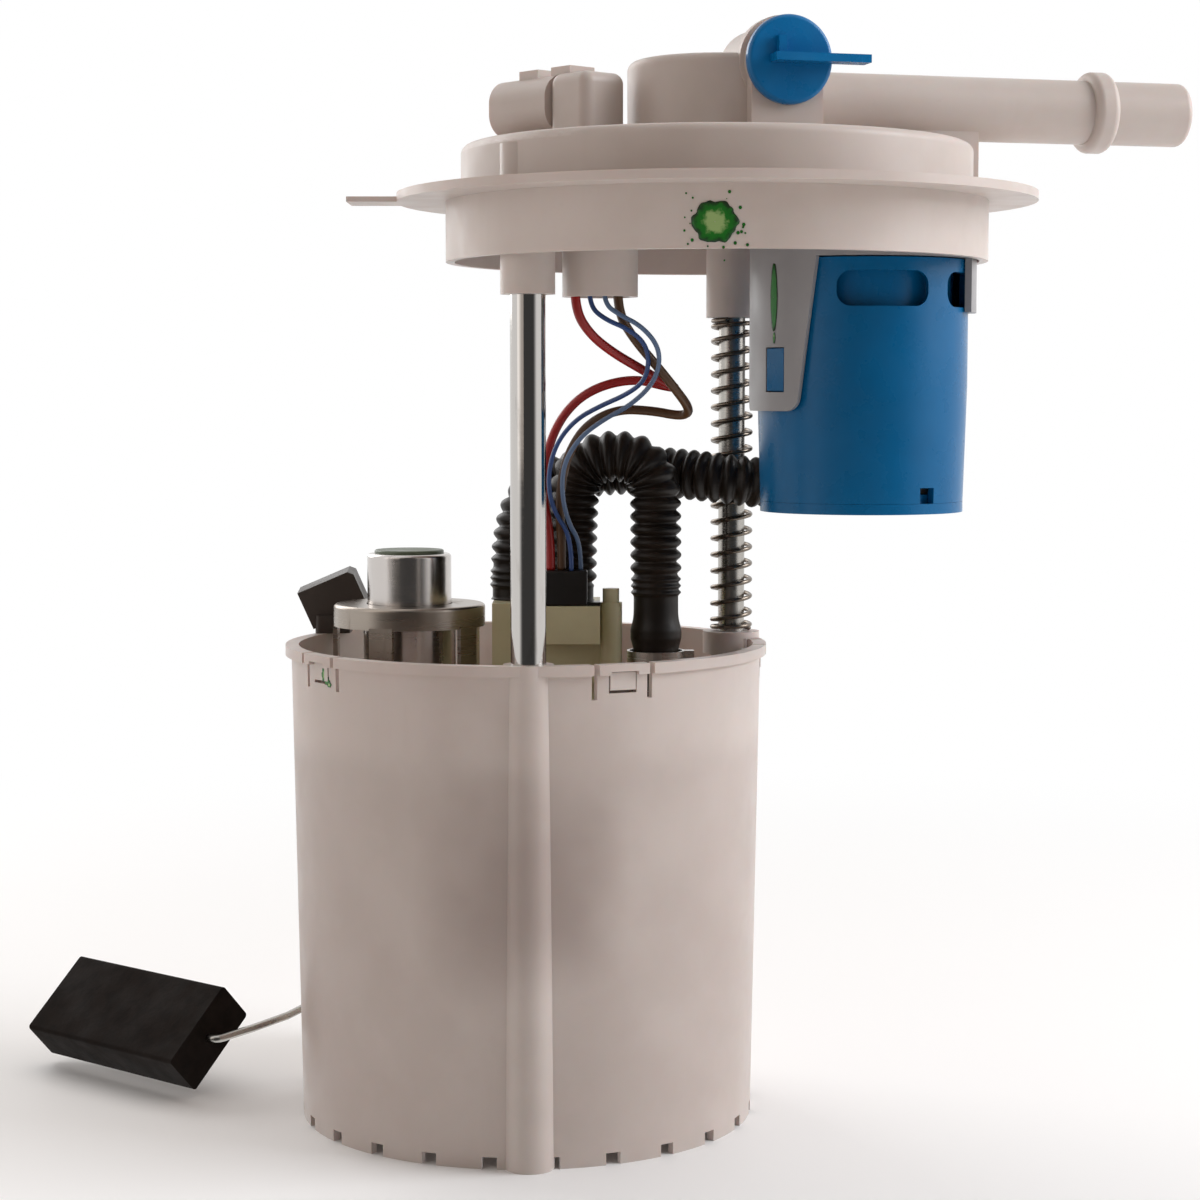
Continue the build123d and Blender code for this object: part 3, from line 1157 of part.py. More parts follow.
BRACKET_INNER_R = VENT_R + GAP
BRACKET_OUTER_R = BRACKET_INNER_R + BRACKET_STRIP
BRACKET_PLATE_Z = VENT_TOP + GAP
LEFT_STRIP = (163.0, 226.0)
HANGER_STRIP = (110.0, 250.0)
LEFT_STRIP_Z = 171.4
RIGHT_STRIP = (-40.0, -12.0)
RIGHT_STRIP_Z = 194.0
WEDGE_ANGLE = 200.0
WEDGE_Z = (176.0, 185.6)
WEDGE_W = 6.0
VENT_HOLE_R = 3.0

STRIP_L = BRACKET_PLATE_Z - LEFT_STRIP_Z
LEAN_AT = polar(BRACKET_OUTER_R, LEFT_STRIP[1], BRACKET_PLATE_Z, VENT)
LEAN_PLANE = Plane(
    origin=LEAN_AT.position,
    x_dir=(0, 0, 1),
    z_dir=(cos(radians(LEFT_STRIP[1])), sin(radians(LEFT_STRIP[1])), 0),
)

with BuildPart() as valve_bracket:
    post(VENT, BRACKET_OUTER_R, BRACKET_PLATE_Z, BRACKET_PLATE_Z + BRACKET_STRIP)
    post(VENT, VENT_HOLE_R + GAP, BRACKET_PLATE_Z, BRACKET_PLATE_Z + BRACKET_STRIP, mode=Mode.SUBTRACT)
    extrude(strip(LEFT_STRIP_Z, VENT, BRACKET_INNER_R, BRACKET_OUTER_R, *LEFT_STRIP),
            amount=DISC_Z - LEFT_STRIP_Z)
    extrude(strip(RIGHT_STRIP_Z, VENT, BRACKET_INNER_R, BRACKET_OUTER_R, *RIGHT_STRIP),
            amount=BRACKET_PLATE_Z - RIGHT_STRIP_Z)
    extrude(strip(BRACKET_PLATE_Z, VENT, BRACKET_INNER_R, BRACKET_OUTER_R, *HANGER_STRIP),
            amount=BOSS_TOP - BRACKET_PLATE_Z)
    with BuildSketch(LEAN_PLANE):
        Polygon((0, 0), (-STRIP_L - GAP, STRIP_LEAN), (-STRIP_L - GAP, -GAP), (0, -GAP), align=None)
    extrude(amount=3 * BRACKET_STRIP, both=True, mode=Mode.SUBTRACT)
    low_edges = valve_bracket.edges().filter_by(lambda edge: abs(edge.center().Z - LEFT_STRIP_Z) < FIT)
    fillet(low_edges.filter_by(lambda edge: edge.length < 2 * BRACKET_STRIP), radius=STRIP_CORNER)
    with Locations(polar(BRACKET_OUTER_R, WEDGE_ANGLE, (WEDGE_Z[0] + WEDGE_Z[1]) / 2, VENT)):
        Box(4 * BRACKET_STRIP, WEDGE_W + 2 * GAP, WEDGE_Z[1] - WEDGE_Z[0] + 2 * GAP, mode=Mode.SUBTRACT)
    post(HOSE_BOSS, HOSE_BOSS_R + GAP, BRACKET_PLATE_Z, BOSS_TOP, mode=Mode.SUBTRACT)
    post(REAR_ROD, REAR_BOSS_R + GAP, BRACKET_PLATE_Z, BOSS_TOP, mode=Mode.SUBTRACT)
valve_bracket.part.label = "valve_bracket"
export_step(valve_bracket.part, "parts/valve_bracket.step")

VENT_LID_Z = VENT_LOW + VENT_LID_T


def window(angle, width):
    """Rounded window, upright across the valve wall at one angle."""
    spot = polar(VENT_R - VENT_WALL, angle, sum(VENT_WINDOW_Z) / 2, VENT).position
    across = (-sin(radians(angle)), cos(radians(angle)), 0)
    outward = (cos(radians(angle)), sin(radians(angle)), 0)
    with BuildSketch(Plane(origin=spot, x_dir=across, z_dir=outward)) as opening:
        RectangleRounded(width, VENT_WINDOW_Z[1] - VENT_WINDOW_Z[0] - VENT_WALL, VENT_WINDOW_CORNER)
    return opening.sketch


with BuildPart() as vent_valve_housing:
    with BuildSketch(upright(VENT)):
        with BuildLine():
            Polyline(
                (VENT_HOLE_R, VENT_TOP),
                (VENT_R, VENT_TOP),
                (VENT_R, (VENT_TOP + VENT_LOW) / 2),
                (VENT_FOOT_R, VENT_LID_Z + FIT),
                (VENT_FOOT_R - VENT_WALL, VENT_LID_Z + FIT),
                (VENT_R - VENT_WALL, (VENT_TOP + VENT_LOW) / 2),
                (VENT_R - VENT_WALL, VENT_TOP - VENT_WALL),
                (VENT_HOLE_R, VENT_TOP - VENT_WALL),
                close=True,
            )
        make_face()
    revolve(axis=spin_axis(VENT))
    for angle, width in VENT_WINDOWS:
        extrude(window(angle, width), amount=VENT_WALL + 2 * GAP, both=True, mode=Mode.SUBTRACT)
    post(VENT, VENT_SLEEVE_R, VENT_SLEEVE_Z, VENT_TOP - VENT_WALL / 2)
    post(VENT, VENT_SLEEVE_R - VENT_SLEEVE_WALL, VENT_SLEEVE_Z, VENT_TOP - VENT_WALL, mode=Mode.SUBTRACT)
    with Locations(polar(VENT_FOOT_R, VENT_NOTCH_ANGLE, VENT_LID_Z, VENT)):
        Box(6 * VENT_WALL, VENT_NOTCH[0], 2 * VENT_NOTCH[1], mode=Mode.SUBTRACT)
    with Locations(polar(VENT_R - VENT_WALL / 2, WEDGE_ANGLE, (WEDGE_Z[0] + WEDGE_Z[1]) / 2, VENT)):
        Box(VENT_WALL + 2 * BRACKET_STRIP, WEDGE_W, WEDGE_Z[1] - WEDGE_Z[0])
vent_valve_housing.part.label = "vent_valve_housing"
export_step(vent_valve_housing.part, "parts/vent_valve_housing.step")

with BuildPart() as vent_valve_lid:
    post(VENT, VENT_FOOT_R, VENT_LOW, VENT_LID_Z)
    post(VENT, VENT_FOOT_R - VENT_WALL - GAP, VENT_LID_Z, VENT_LID_Z + VENT_WALL)
    post(VENT, VENT_FLOAT_R / 2, VENT_LOW, VENT_LID_Z + VENT_WALL, mode=Mode.SUBTRACT)
vent_valve_lid.part.label = "vent_valve_lid"
export_step(vent_valve_lid.part, "parts/vent_valve_lid.step")

VENT_FLOAT_Z = VENT_LID_Z + VENT_WALL + FIT
VENT_SEAL_Z = VENT_TOP - VENT_WALL
VENT_SEAL_T = 2.0
VENT_SEAL_R = 14.0
VENT_FLOAT_WALL = 3.5
VENT_SPRING_R = 12.0
STEM_R = 2.2

with BuildPart() as vent_valve_float:
    post(VENT, VENT_FLOAT_R, VENT_FLOAT_Z, VENT_FLOAT_Z + VENT_FLOAT_H)
    fillet(vent_valve_float.edges().group_by(Axis.Z)[-1], radius=VENT_WALL)
    post(VENT, VENT_FLOAT_R - VENT_FLOAT_WALL, VENT_FLOAT_Z, VENT_FLOAT_Z + VENT_FLOAT_H - VENT_FLOAT_WALL,
         mode=Mode.SUBTRACT)
    post(VENT, STEM_R, VENT_FLOAT_Z + VENT_FLOAT_H, VENT_SEAL_Z - VENT_SEAL_T - VENT_LIFT)
vent_valve_float.part.label = "vent_valve_float"
export_step(vent_valve_float.part, "parts/vent_valve_float.step")

with BuildPart() as vent_valve_seal:
    post(VENT, VENT_SEAL_R, VENT_SEAL_Z - VENT_SEAL_T + FIT, VENT_SEAL_Z - FIT)
    post(VENT, VENT_HOLE_R / 2, VENT_SEAL_Z - VENT_SEAL_T, VENT_SEAL_Z, mode=Mode.SUBTRACT)
vent_valve_seal.part.label = "vent_valve_seal"
export_step(vent_valve_seal.part, "parts/vent_valve_seal.step")

with BuildPart() as vent_valve_spring:
    with BuildLine():
        vent_coil = Helix(
            pitch=SPRING_PITCH,
            height=VENT_FLOAT_H - VENT_FLOAT_WALL - 2 * SPRING_WIRE_R,
            radius=VENT_SPRING_R,
            center=(VENT[0], VENT[1], VENT_FLOAT_Z + SPRING_WIRE_R),
        )
    with BuildSketch(Plane(origin=vent_coil @ 0, z_dir=vent_coil % 0)):
        Circle(SPRING_WIRE_R)
    sweep(is_frenet=True)
vent_valve_spring.part.label = "vent_valve_spring"
export_step(vent_valve_spring.part, "parts/vent_valve_spring.step")
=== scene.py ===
"""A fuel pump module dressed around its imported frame: finishes for the CAD pieces, corrugated hoses,
wires, the rod spring, paint marks and moulded details, in metres and in the row frame."""

import json
import math

import bpy
import numpy as np
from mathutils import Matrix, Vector


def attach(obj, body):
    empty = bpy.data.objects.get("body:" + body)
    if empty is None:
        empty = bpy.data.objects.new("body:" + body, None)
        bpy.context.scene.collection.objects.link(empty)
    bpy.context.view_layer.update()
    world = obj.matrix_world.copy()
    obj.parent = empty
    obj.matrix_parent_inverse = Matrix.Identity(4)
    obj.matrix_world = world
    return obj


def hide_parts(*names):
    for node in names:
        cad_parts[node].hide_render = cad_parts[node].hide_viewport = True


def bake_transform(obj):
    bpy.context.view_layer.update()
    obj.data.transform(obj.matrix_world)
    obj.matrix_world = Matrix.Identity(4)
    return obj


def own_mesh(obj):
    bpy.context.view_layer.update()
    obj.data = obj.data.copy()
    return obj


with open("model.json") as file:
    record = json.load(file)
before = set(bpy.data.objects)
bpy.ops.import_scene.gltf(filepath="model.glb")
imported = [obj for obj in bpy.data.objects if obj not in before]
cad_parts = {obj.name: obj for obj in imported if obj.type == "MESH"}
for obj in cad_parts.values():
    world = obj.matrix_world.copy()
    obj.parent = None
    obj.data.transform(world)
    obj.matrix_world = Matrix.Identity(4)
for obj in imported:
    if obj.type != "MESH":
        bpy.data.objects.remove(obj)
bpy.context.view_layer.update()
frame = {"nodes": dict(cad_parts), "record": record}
nodes = frame["nodes"]
scene = bpy.context.scene

# Places shared with the CAD source, in metres

GROUP_TURN = math.radians(-15)
COVER = np.array((0.0383, -0.0310))
VENT = np.array((0.0708, -0.0418))
FRONT_ROD = np.array((-0.0118, -0.0517))
REAR_ROD = np.array((0.0524, 0.0))
FILTER = np.array((-0.0264, 0.0133))
PUMP = np.array((0.0188, -0.0071))
SKIRT_R = 0.063
BRACKET_R = 0.0263
SPRING_LOW = 0.1165
SPRING_HIGH = 0.194
HOSE_R = 0.0062

# Camera

CAMERA_AT = Vector((-0.1462, -0.6151, 0.1757))
CAMERA_HEADING = math.radians(15)
CAMERA_DIP = math.radians(4.57)
LENS = 78
SENSOR = 36
NEAR_CLIP = 0.01

camera_data = bpy.data.cameras.new("camera")
camera_data.lens = LENS
camera_data.sensor_width = SENSOR
camera_data.clip_start = NEAR_CLIP
camera = bpy.data.objects.new("camera", camera_data)
scene.collection.objects.link(camera)
camera.location = CAMERA_AT
looking = Vector((
    math.sin(CAMERA_HEADING) * math.cos(CAMERA_DIP),
    math.cos(CAMERA_HEADING) * math.cos(CAMERA_DIP),
    -math.sin(CAMERA_DIP),
))
camera.rotation_euler = looking.to_track_quat("-Z", "Y").to_euler()
scene.camera = camera


# Meshes

FIRST_ACROSS = (0.3, 1.0, 0.1)
ROUTE_RESOLUTION = 24


def grid_faces(rows, columns):
    """Quads of a grid of rows x columns points whose columns close on themselves."""
    row, column = np.meshgrid(np.arange(rows - 1), np.arange(columns), indexing="ij")
    after = (column + 1) % columns
    return np.stack((row * columns + column, row * columns + after,
                     (row + 1) * columns + after, (row + 1) * columns + column), -1).reshape(-1, 4)


def new_piece(name, points, quads, triangles=()):
    """A mesh object from arrays of points, quads and triangles, shaded smooth."""
    mesh = bpy.data.meshes.new(name)
    mesh.from_pydata(points.tolist(), [], quads.tolist() + np.asarray(triangles, int).reshape(-1, 3).tolist())
    mesh.polygons.foreach_set("use_smooth", np.ones(len(mesh.polygons), bool))
    mesh.update()
    piece = bpy.data.objects.new(name, mesh)
    scene.collection.objects.link(piece)
    return piece


def capped(name, rings):
    """Rings of points (rows, columns, 3) skinned in order, each end closed by a fan to the ring's centre."""
    rows, columns = rings.shape[:2]
    points = np.concatenate((rings.reshape(-1, 3), rings[:1].mean(1), rings[-1:].mean(1)))
    around = np.arange(columns)
    after = (around + 1) % columns
    low = np.stack((np.full(columns, rows * columns), after, around), -1)
    last = (rows - 1) * columns
    high = np.stack((np.full(columns, rows * columns + 1), last + around, last + after), -1)
    return new_piece(name, points, grid_faces(rows, columns), np.concatenate((low, high)))


def carried_frames(path):
    """Unit tangents of a path and, across it, a first direction carried along by the least turn, and a second
    one at right angles to both."""
    tangents = np.gradient(path, axis=0)
    tangents /= np.linalg.norm(tangents, axis=1)[:, None]
    first = np.empty_like(path)
    start = np.cross(tangents[0], FIRST_ACROSS)
    first[0] = start / np.linalg.norm(start)
    for i in range(1, len(path)):
        across = first[i - 1] - tangents[i] * (first[i - 1] @ tangents[i])
        first[i] = across / np.linalg.norm(across)
    return tangents, first, np.cross(tangents, first)


def tube(name, path, radii, sides):
    """A round tube: each station's ring is path + radius x (cos a x first + sin a x second)."""
    first, second = carried_frames(path)[1:]
    angle = np.linspace(0, 2 * math.pi, sides, endpoint=False)
    ring = np.cos(angle)[None, :, None] * first[:, None] + np.sin(angle)[None, :, None] * second[:, None]
    return capped(name, path[:, None] + radii[:, None, None] * ring)


# Cord routes, as the CAD source has them, in the plan of the pump group

PUMP_HOSE_ROUTE = (
    (0.011, -0.002, 0.12505),
    (0.011, -0.002, 0.143),
    (0.0124, -0.003, 0.1603),
    (0.0312, -0.0056, 0.1603),
    (0.0315, -0.006, 0.14),
    (0.0315, -0.006, 0.10405),
)
COVER_HOSE_ROUTE = (
    (-0.003, 0.005, 0.12505),
    (-0.003, 0.005, 0.1405),
    (0.002, 0.009, 0.153),
    (0.02, 0.0124, 0.157),
    (0.036, 0.0064, 0.156),
    (0.05, 0.0008, 0.1545),
    (0.062, 0.005, 0.153),
    (0.0675, 0.017, 0.16),
    (0.066, 0.021, 0.176),
    (0.066, 0.021, 0.19995),
)
RED_ROUTE = (
    (0.0124, -0.0454, 0.199),
    (0.0124, -0.0454, 0.194),
    (0.0158, -0.0424, 0.1886),
    (0.021, -0.0386, 0.1846),
    (0.027, -0.0346, 0.1812),
    (0.0322, -0.031, 0.1782),
    (0.0351, -0.0288, 0.1769),
    (0.0354, -0.0258, 0.1767),
    (0.0326, -0.0242, 0.1772),
    (0.0264, -0.0236, 0.1788),
    (0.0186, -0.0222, 0.1774),
    (0.0122, -0.0208, 0.1738),
    (0.0074, -0.0196, 0.1674),
    (0.005, -0.0178, 0.1594),
    (0.0046, -0.0156, 0.1504),
    (0.0062, -0.0134, 0.142),
    (0.0062, -0.0134, 0.13345),
)
BROWN_ROUTE = (
    (0.022, -0.0406, 0.199),
    (0.022, -0.0406, 0.1936),
    (0.0258, -0.0386, 0.1876),
    (0.031, -0.0362, 0.1816),
    (0.0356, -0.0334, 0.176),
    (0.0382, -0.0302, 0.1726),
    (0.0386, -0.0274, 0.1708),
    (0.0362, -0.0258, 0.1702),
    (0.0302, -0.0254, 0.1714),
    (0.022, -0.0246, 0.1718),
    (0.0148, -0.0232, 0.1682),
    (0.0106, -0.0214, 0.1616),
    (0.0088, -0.019, 0.1544),
    (0.0084, -0.0164, 0.1474),
    (0.0088, -0.0129, 0.1416),
    (0.0088, -0.0129, 0.13345),
)
BLUE_ROUTE = (
    (0.0156, -0.0434, 0.199),
    (0.0156, -0.0434, 0.195),
    (0.0192, -0.043, 0.192),
    (0.0242, -0.0424, 0.19),
    (0.0282, -0.0406, 0.1868),
    (0.0292, -0.0384, 0.1824),
    (0.028, -0.0356, 0.178),
    (0.0238, -0.031, 0.175),
    (0.0182, -0.0278, 0.1726),
    (0.012, -0.0256, 0.1692),
    (0.0074, -0.0232, 0.1632),
    (0.0056, -0.0206, 0.1552),
    (0.007, -0.0184, 0.1476),
    (0.0112, -0.015, 0.1416),
    (0.0112, -0.015, 0.13345),
)
GREY_ROUTE = (
    (0.0189, -0.0466, 0.199),
    (0.0189, -0.0466, 0.1954),
    (0.0224, -0.0454, 0.193),
    (0.0272, -0.0442, 0.1906),
    (0.031, -0.0424, 0.1864),
    (0.0316, -0.04, 0.1818),
    (0.0296, -0.0369, 0.177),
    (0.0248, -0.0324, 0.1726),
    (0.0188, -0.0296, 0.1694),
    (0.0132, -0.0276, 0.1652),
    (0.0094, -0.0246, 0.159),
    (0.009, -0.0216, 0.1514),
    (0.0106, -0.0182, 0.1448),
    (0.0134, -0.0126, 0.1396),
    (0.0134, -0.0126, 0.13345),
)


def grouped(points):
    """Points of the pump group's plan, turned into the row frame."""
    points = np.asarray(points, float)
    cosine, sine = math.cos(GROUP_TURN), math.sin(GROUP_TURN)
    return np.column_stack((
        points[:, 0] * cosine - points[:, 1] * sine,
        points[:, 0] * sine + points[:, 1] * cosine,
        points[:, 2],
    ))


def cord_line(name, route, step):
    """The route's order-three NURBS curve in the row frame, read back as points a step apart along it."""
    data = bpy.data.curves.new(name, "CURVE")
    data.dimensions = "3D"
    data.resolution_u = ROUTE_RESOLUTION
    spline = data.splines.new("NURBS")
    spline.points.add(len(route) - 1)
    spline.points.foreach_set("co", np.column_stack((grouped(route), np.ones(len(route)))).ravel())
    spline.order_u = 3
    spline.use_endpoint_u = True
    guide = bpy.data.objects.new(name, data)
    scene.collection.objects.link(guide)
    bpy.context.view_layer.update()
    mesh = bpy.data.meshes.new_from_object(guide)
    points = np.empty(len(mesh.vertices) * 3)
    mesh.vertices.foreach_get("co", points)
    points = points.reshape(-1, 3)
    bpy.data.objects.remove(guide)
    bpy.data.meshes.remove(mesh)
    along = np.concatenate(((0,), np.cumsum(np.linalg.norm(np.diff(points, axis=0), axis=1))))
    stations = np.linspace(0, along[-1], max(2, round(along[-1] / step)) + 1)
    line = np.column_stack([np.interp(stations, along, points[:, axis]) for axis in range(3)])
    return line, stations


# Shared effects


def socketed_group(name, inputs, outputs):
    """An empty node group with named inputs (name, type, value) and outputs (name, type)."""
    tree = bpy.data.node_groups.new(name, "ShaderNodeTree")
    for label, kind, value in inputs:
        socket = tree.interface.new_socket(label, in_out="INPUT", socket_type=kind)
        socket.default_value = value
    for label, kind in outputs:
        tree.interface.new_socket(label, in_out="OUTPUT", socket_type=kind)
    return tree, tree.nodes.new("NodeGroupInput"), tree.nodes.new("NodeGroupOutput")


def noise(tree, vector, scale, detail=4.0, roughness=0.55):
    """A noise texture node on a vector socket; scale is a number or a socket."""
    node = tree.nodes.new("ShaderNodeTexNoise")
    node.inputs["Detail"].default_value = detail
    node.inputs["Roughness"].default_value = roughness
    tree.links.new(vector, node.inputs["Vector"])
    if isinstance(scale, (int, float)):
        node.inputs["Scale"].default_value = scale
    else:
        tree.links.new(scale, node.inputs["Scale"])
    return node.outputs["Fac"]


def ramp(tree, value, low, high, to_low=0.0, to_high=1.0):
    """A value mapped smoothly from low..high to to_low..to_high."""
    node = tree.nodes.new("ShaderNodeMapRange")
    node.interpolation_type = "SMOOTHSTEP"
    for label, number in (("From Min", low), ("From Max", high), ("To Min", to_low), ("To Max", to_high)):
        if isinstance(number, (int, float)):
            node.inputs[label].default_value = number
        else:
            tree.links.new(number, node.inputs[label])
    tree.links.new(value, node.inputs["Value"])
    return node.outputs["Result"]


def maths(tree, operation, a, b=0.0):
    """A maths node on numbers or sockets."""
    node = tree.nodes.new("ShaderNodeMath")
    node.operation = operation
    for i, value in enumerate((a, b)):
        if isinstance(value, (int, float)):
            node.inputs[i].default_value = value
        else:
            tree.links.new(value, node.inputs[i])
    return node.outputs[0]


def blended(tree, share, a, b):
    """A colour mix from a to b; a and b are colours or sockets."""
    node = tree.nodes.new("ShaderNodeMix")
    node.data_type = "RGBA"
    tree.links.new(share, node.inputs["Factor"])
    for label, value in (("A", a), ("B", b)):
        socket = [s for s in node.inputs if s.name == label and s.type == "RGBA"][0]
        if isinstance(value, bpy.types.NodeSocket):
            tree.links.new(value, socket)
        else:
            socket.default_value = value
    return [s for s in node.outputs if s.type == "RGBA"][0]


def stretched(tree, vector, scale):
    """The vector scaled by a different number along each axis."""
    node = tree.nodes.new("ShaderNodeMapping")
    node.inputs["Scale"].default_value = scale
    tree.links.new(vector, node.inputs["Vector"])
    return node.outputs["Vector"]


# How the two shared skins vary: noise scales, stretches, and the limits that their ramps run between

SKIN_PATCHES = (0.38, 0.68)
SPECK_SCALE = 420.0
SPECKS = (0.68, 0.76, 0.0, 0.35)
STREAK_STRETCH = (1.0, 1.0, 0.12)
STREAK_SCALE = 160.0
STREAKS = (0.45, 0.75, 0.0, 0.45)
WEAR_SCALE = 110.0
WEAR = (0.3, 0.7)
LINE_STRETCH = (0.08, 0.08, 4.0)
SCUFF_STRETCH = (3.0, 3.0, 0.5)
SCUFF_SCALE = 90.0
SCUFFS = (0.55, 0.72)
SCUFF_SHARE = 0.5
METAL_WEAR_SHARE = 0.6
METAL_WEAR = (0.15, 0.75)


def moulded_skin_group():
    """Uneven colour and gloss with a fine grain: the skin of a moulded or plated piece."""
    tree, given, put = socketed_group(
        "moulded_skin",
        (
            ("Colour", "NodeSocketColor", (0.8, 0.8, 0.8, 1)),
            ("Stain", "NodeSocketColor", (0.6, 0.6, 0.6, 1)),
            ("Stain Share", "NodeSocketFloat", 0.3),
            ("Stain Scale", "NodeSocketFloat", 45.0),
            ("Gloss Low", "NodeSocketFloat", 0.35),
            ("Gloss High", "NodeSocketFloat", 0.5),
            ("Grain Scale", "NodeSocketFloat", 1600.0),
        ),
        (("Colour", "NodeSocketColor"), ("Roughness", "NodeSocketFloat"), ("Height", "NodeSocketFloat")),
    )
    place = tree.nodes.new("ShaderNodeTexCoord").outputs["Object"]
    patches = ramp(tree, noise(tree, place, given.outputs["Stain Scale"]), *SKIN_PATCHES)
    specks = ramp(tree, noise(tree, place, SPECK_SCALE, detail=2.0), *SPECKS)
    upright = stretched(tree, place, STREAK_STRETCH)
    streaks = ramp(tree, noise(tree, upright, STREAK_SCALE, detail=3.0), *STREAKS)
    marks = maths(tree, "MAXIMUM", maths(tree, "MAXIMUM", patches, streaks), specks)
    share = maths(tree, "MULTIPLY", marks, given.outputs["Stain Share"])
    stained = blended(tree, share, given.outputs["Colour"], given.outputs["Stain"])
    tree.links.new(stained, put.inputs["Colour"])
    wear = noise(tree, place, WEAR_SCALE, detail=5.0)
    rough = ramp(tree, wear, *WEAR, given.outputs["Gloss Low"], given.outputs["Gloss High"])
    tree.links.new(rough, put.inputs["Roughness"])
    grain = noise(tree, place, given.outputs["Grain Scale"], detail=3.0)
    tree.links.new(grain, put.inputs["Height"])
    return tree


def drawn_metal_group():
    """Fine lines round a vertical axis with scuffs across them: drawn, turned and plated metal."""
    tree, given, put = socketed_group(
        "drawn_metal",
        (
            ("Colour", "NodeSocketColor", (0.6, 0.6, 0.6, 1)),
            ("Scuff", "NodeSocketColor", (0.3, 0.3, 0.3, 1)),
            ("Line Scale", "NodeSocketFloat", 300.0),
            ("Gloss Low", "NodeSocketFloat", 0.2),
            ("Gloss High", "NodeSocketFloat", 0.4),
        ),
        (("Colour", "NodeSocketColor"), ("Roughness", "NodeSocketFloat"), ("Height", "NodeSocketFloat")),
    )
    place = tree.nodes.new("ShaderNodeTexCoord").outputs["Object"]
    lines = noise(tree, stretched(tree, place, LINE_STRETCH), given.outputs["Line Scale"], detail=3.0)
    rubbed = noise(tree, stretched(tree, place, SCUFF_STRETCH), SCUFF_SCALE, detail=5.0)
    scuffs = ramp(tree, rubbed, *SCUFFS)
    share = maths(tree, "MULTIPLY", scuffs, SCUFF_SHARE)
    scuffed = blended(tree, share, given.outputs["Colour"], given.outputs["Scuff"])
    tree.links.new(scuffed, put.inputs["Colour"])
    mixed = maths(tree, "MULTIPLY", maths(tree, "ADD", lines, scuffs), METAL_WEAR_SHARE)
    rough = ramp(tree, mixed, *METAL_WEAR, given.outputs["Gloss Low"], given.outputs["Gloss High"])
    tree.links.new(rough, put.inputs["Roughness"])
    tree.links.new(lines, put.inputs["Height"])
    return tree


SKIN = moulded_skin_group()
DRAWN = drawn_metal_group()


def srgb(red, green, blue):
    """A colour written as it looks on screen, 0..255, as the linear colour that the nodes take."""
    channel = np.array((red, green, blue)) / 255
    linear = np.where(channel <= 0.04045, channel / 12.92, ((channel + 0.055) / 1.055) ** 2.4)
    return (*linear.tolist(), 1.0)


def finish(name, group, settings, bump=0.00002, strength=0.4, **shader):
    """A material whose Principled shader takes colour, roughness and bump from a group; shader gives the
    sockets that are the same all over."""
    material = bpy.data.materials.new(name)
    material.use_nodes = True
    tree = material.node_tree
    principled = tree.nodes["Principled BSDF"]
    skin = tree.nodes.new("ShaderNodeGroup")
    skin.node_tree = group
    for label, value in settings.items():
        skin.inputs[label].default_value = value
    relief = tree.nodes.new("ShaderNodeBump")
    relief.inputs["Strength"].default_value = strength
    relief.inputs["Distance"].default_value = bump
    tree.links.new(skin.outputs["Colour"], principled.inputs["Base Color"])
    tree.links.new(skin.outputs["Roughness"], principled.inputs["Roughness"])
    tree.links.new(skin.outputs["Height"], relief.inputs["Height"])
    tree.links.new(relief.outputs["Normal"], principled.inputs["Normal"])
    for label, value in shader.items():
        principled.inputs[label.replace("_", " ").title().replace("Ior", "IOR")].default_value = value
    return material


def moulded(name, colour, stain, share=0.3, gloss=(0.35, 0.5), stain_scale=45.0, grain=1600.0, **rest):
    """A moulded plastic, rubber or fibre finish."""
    return finish(name, SKIN, {
        "Colour": colour, "Stain": stain, "Stain Share": share, "Stain Scale": stain_scale,
        "Gloss Low": gloss[0], "Gloss High": gloss[1], "Grain Scale": grain,
    }, **rest)


def drawn(name, colour, scuff, gloss, lines=300.0, **rest):
    """A drawn, turned or plated metal finish."""
    return finish(name, DRAWN, {
        "Colour": colour, "Scuff": scuff, "Gloss Low": gloss[0], "Gloss High": gloss[1], "Line Scale": lines,
    }, metallic=1.0, **rest)


# Finishes, one for each slot of the record

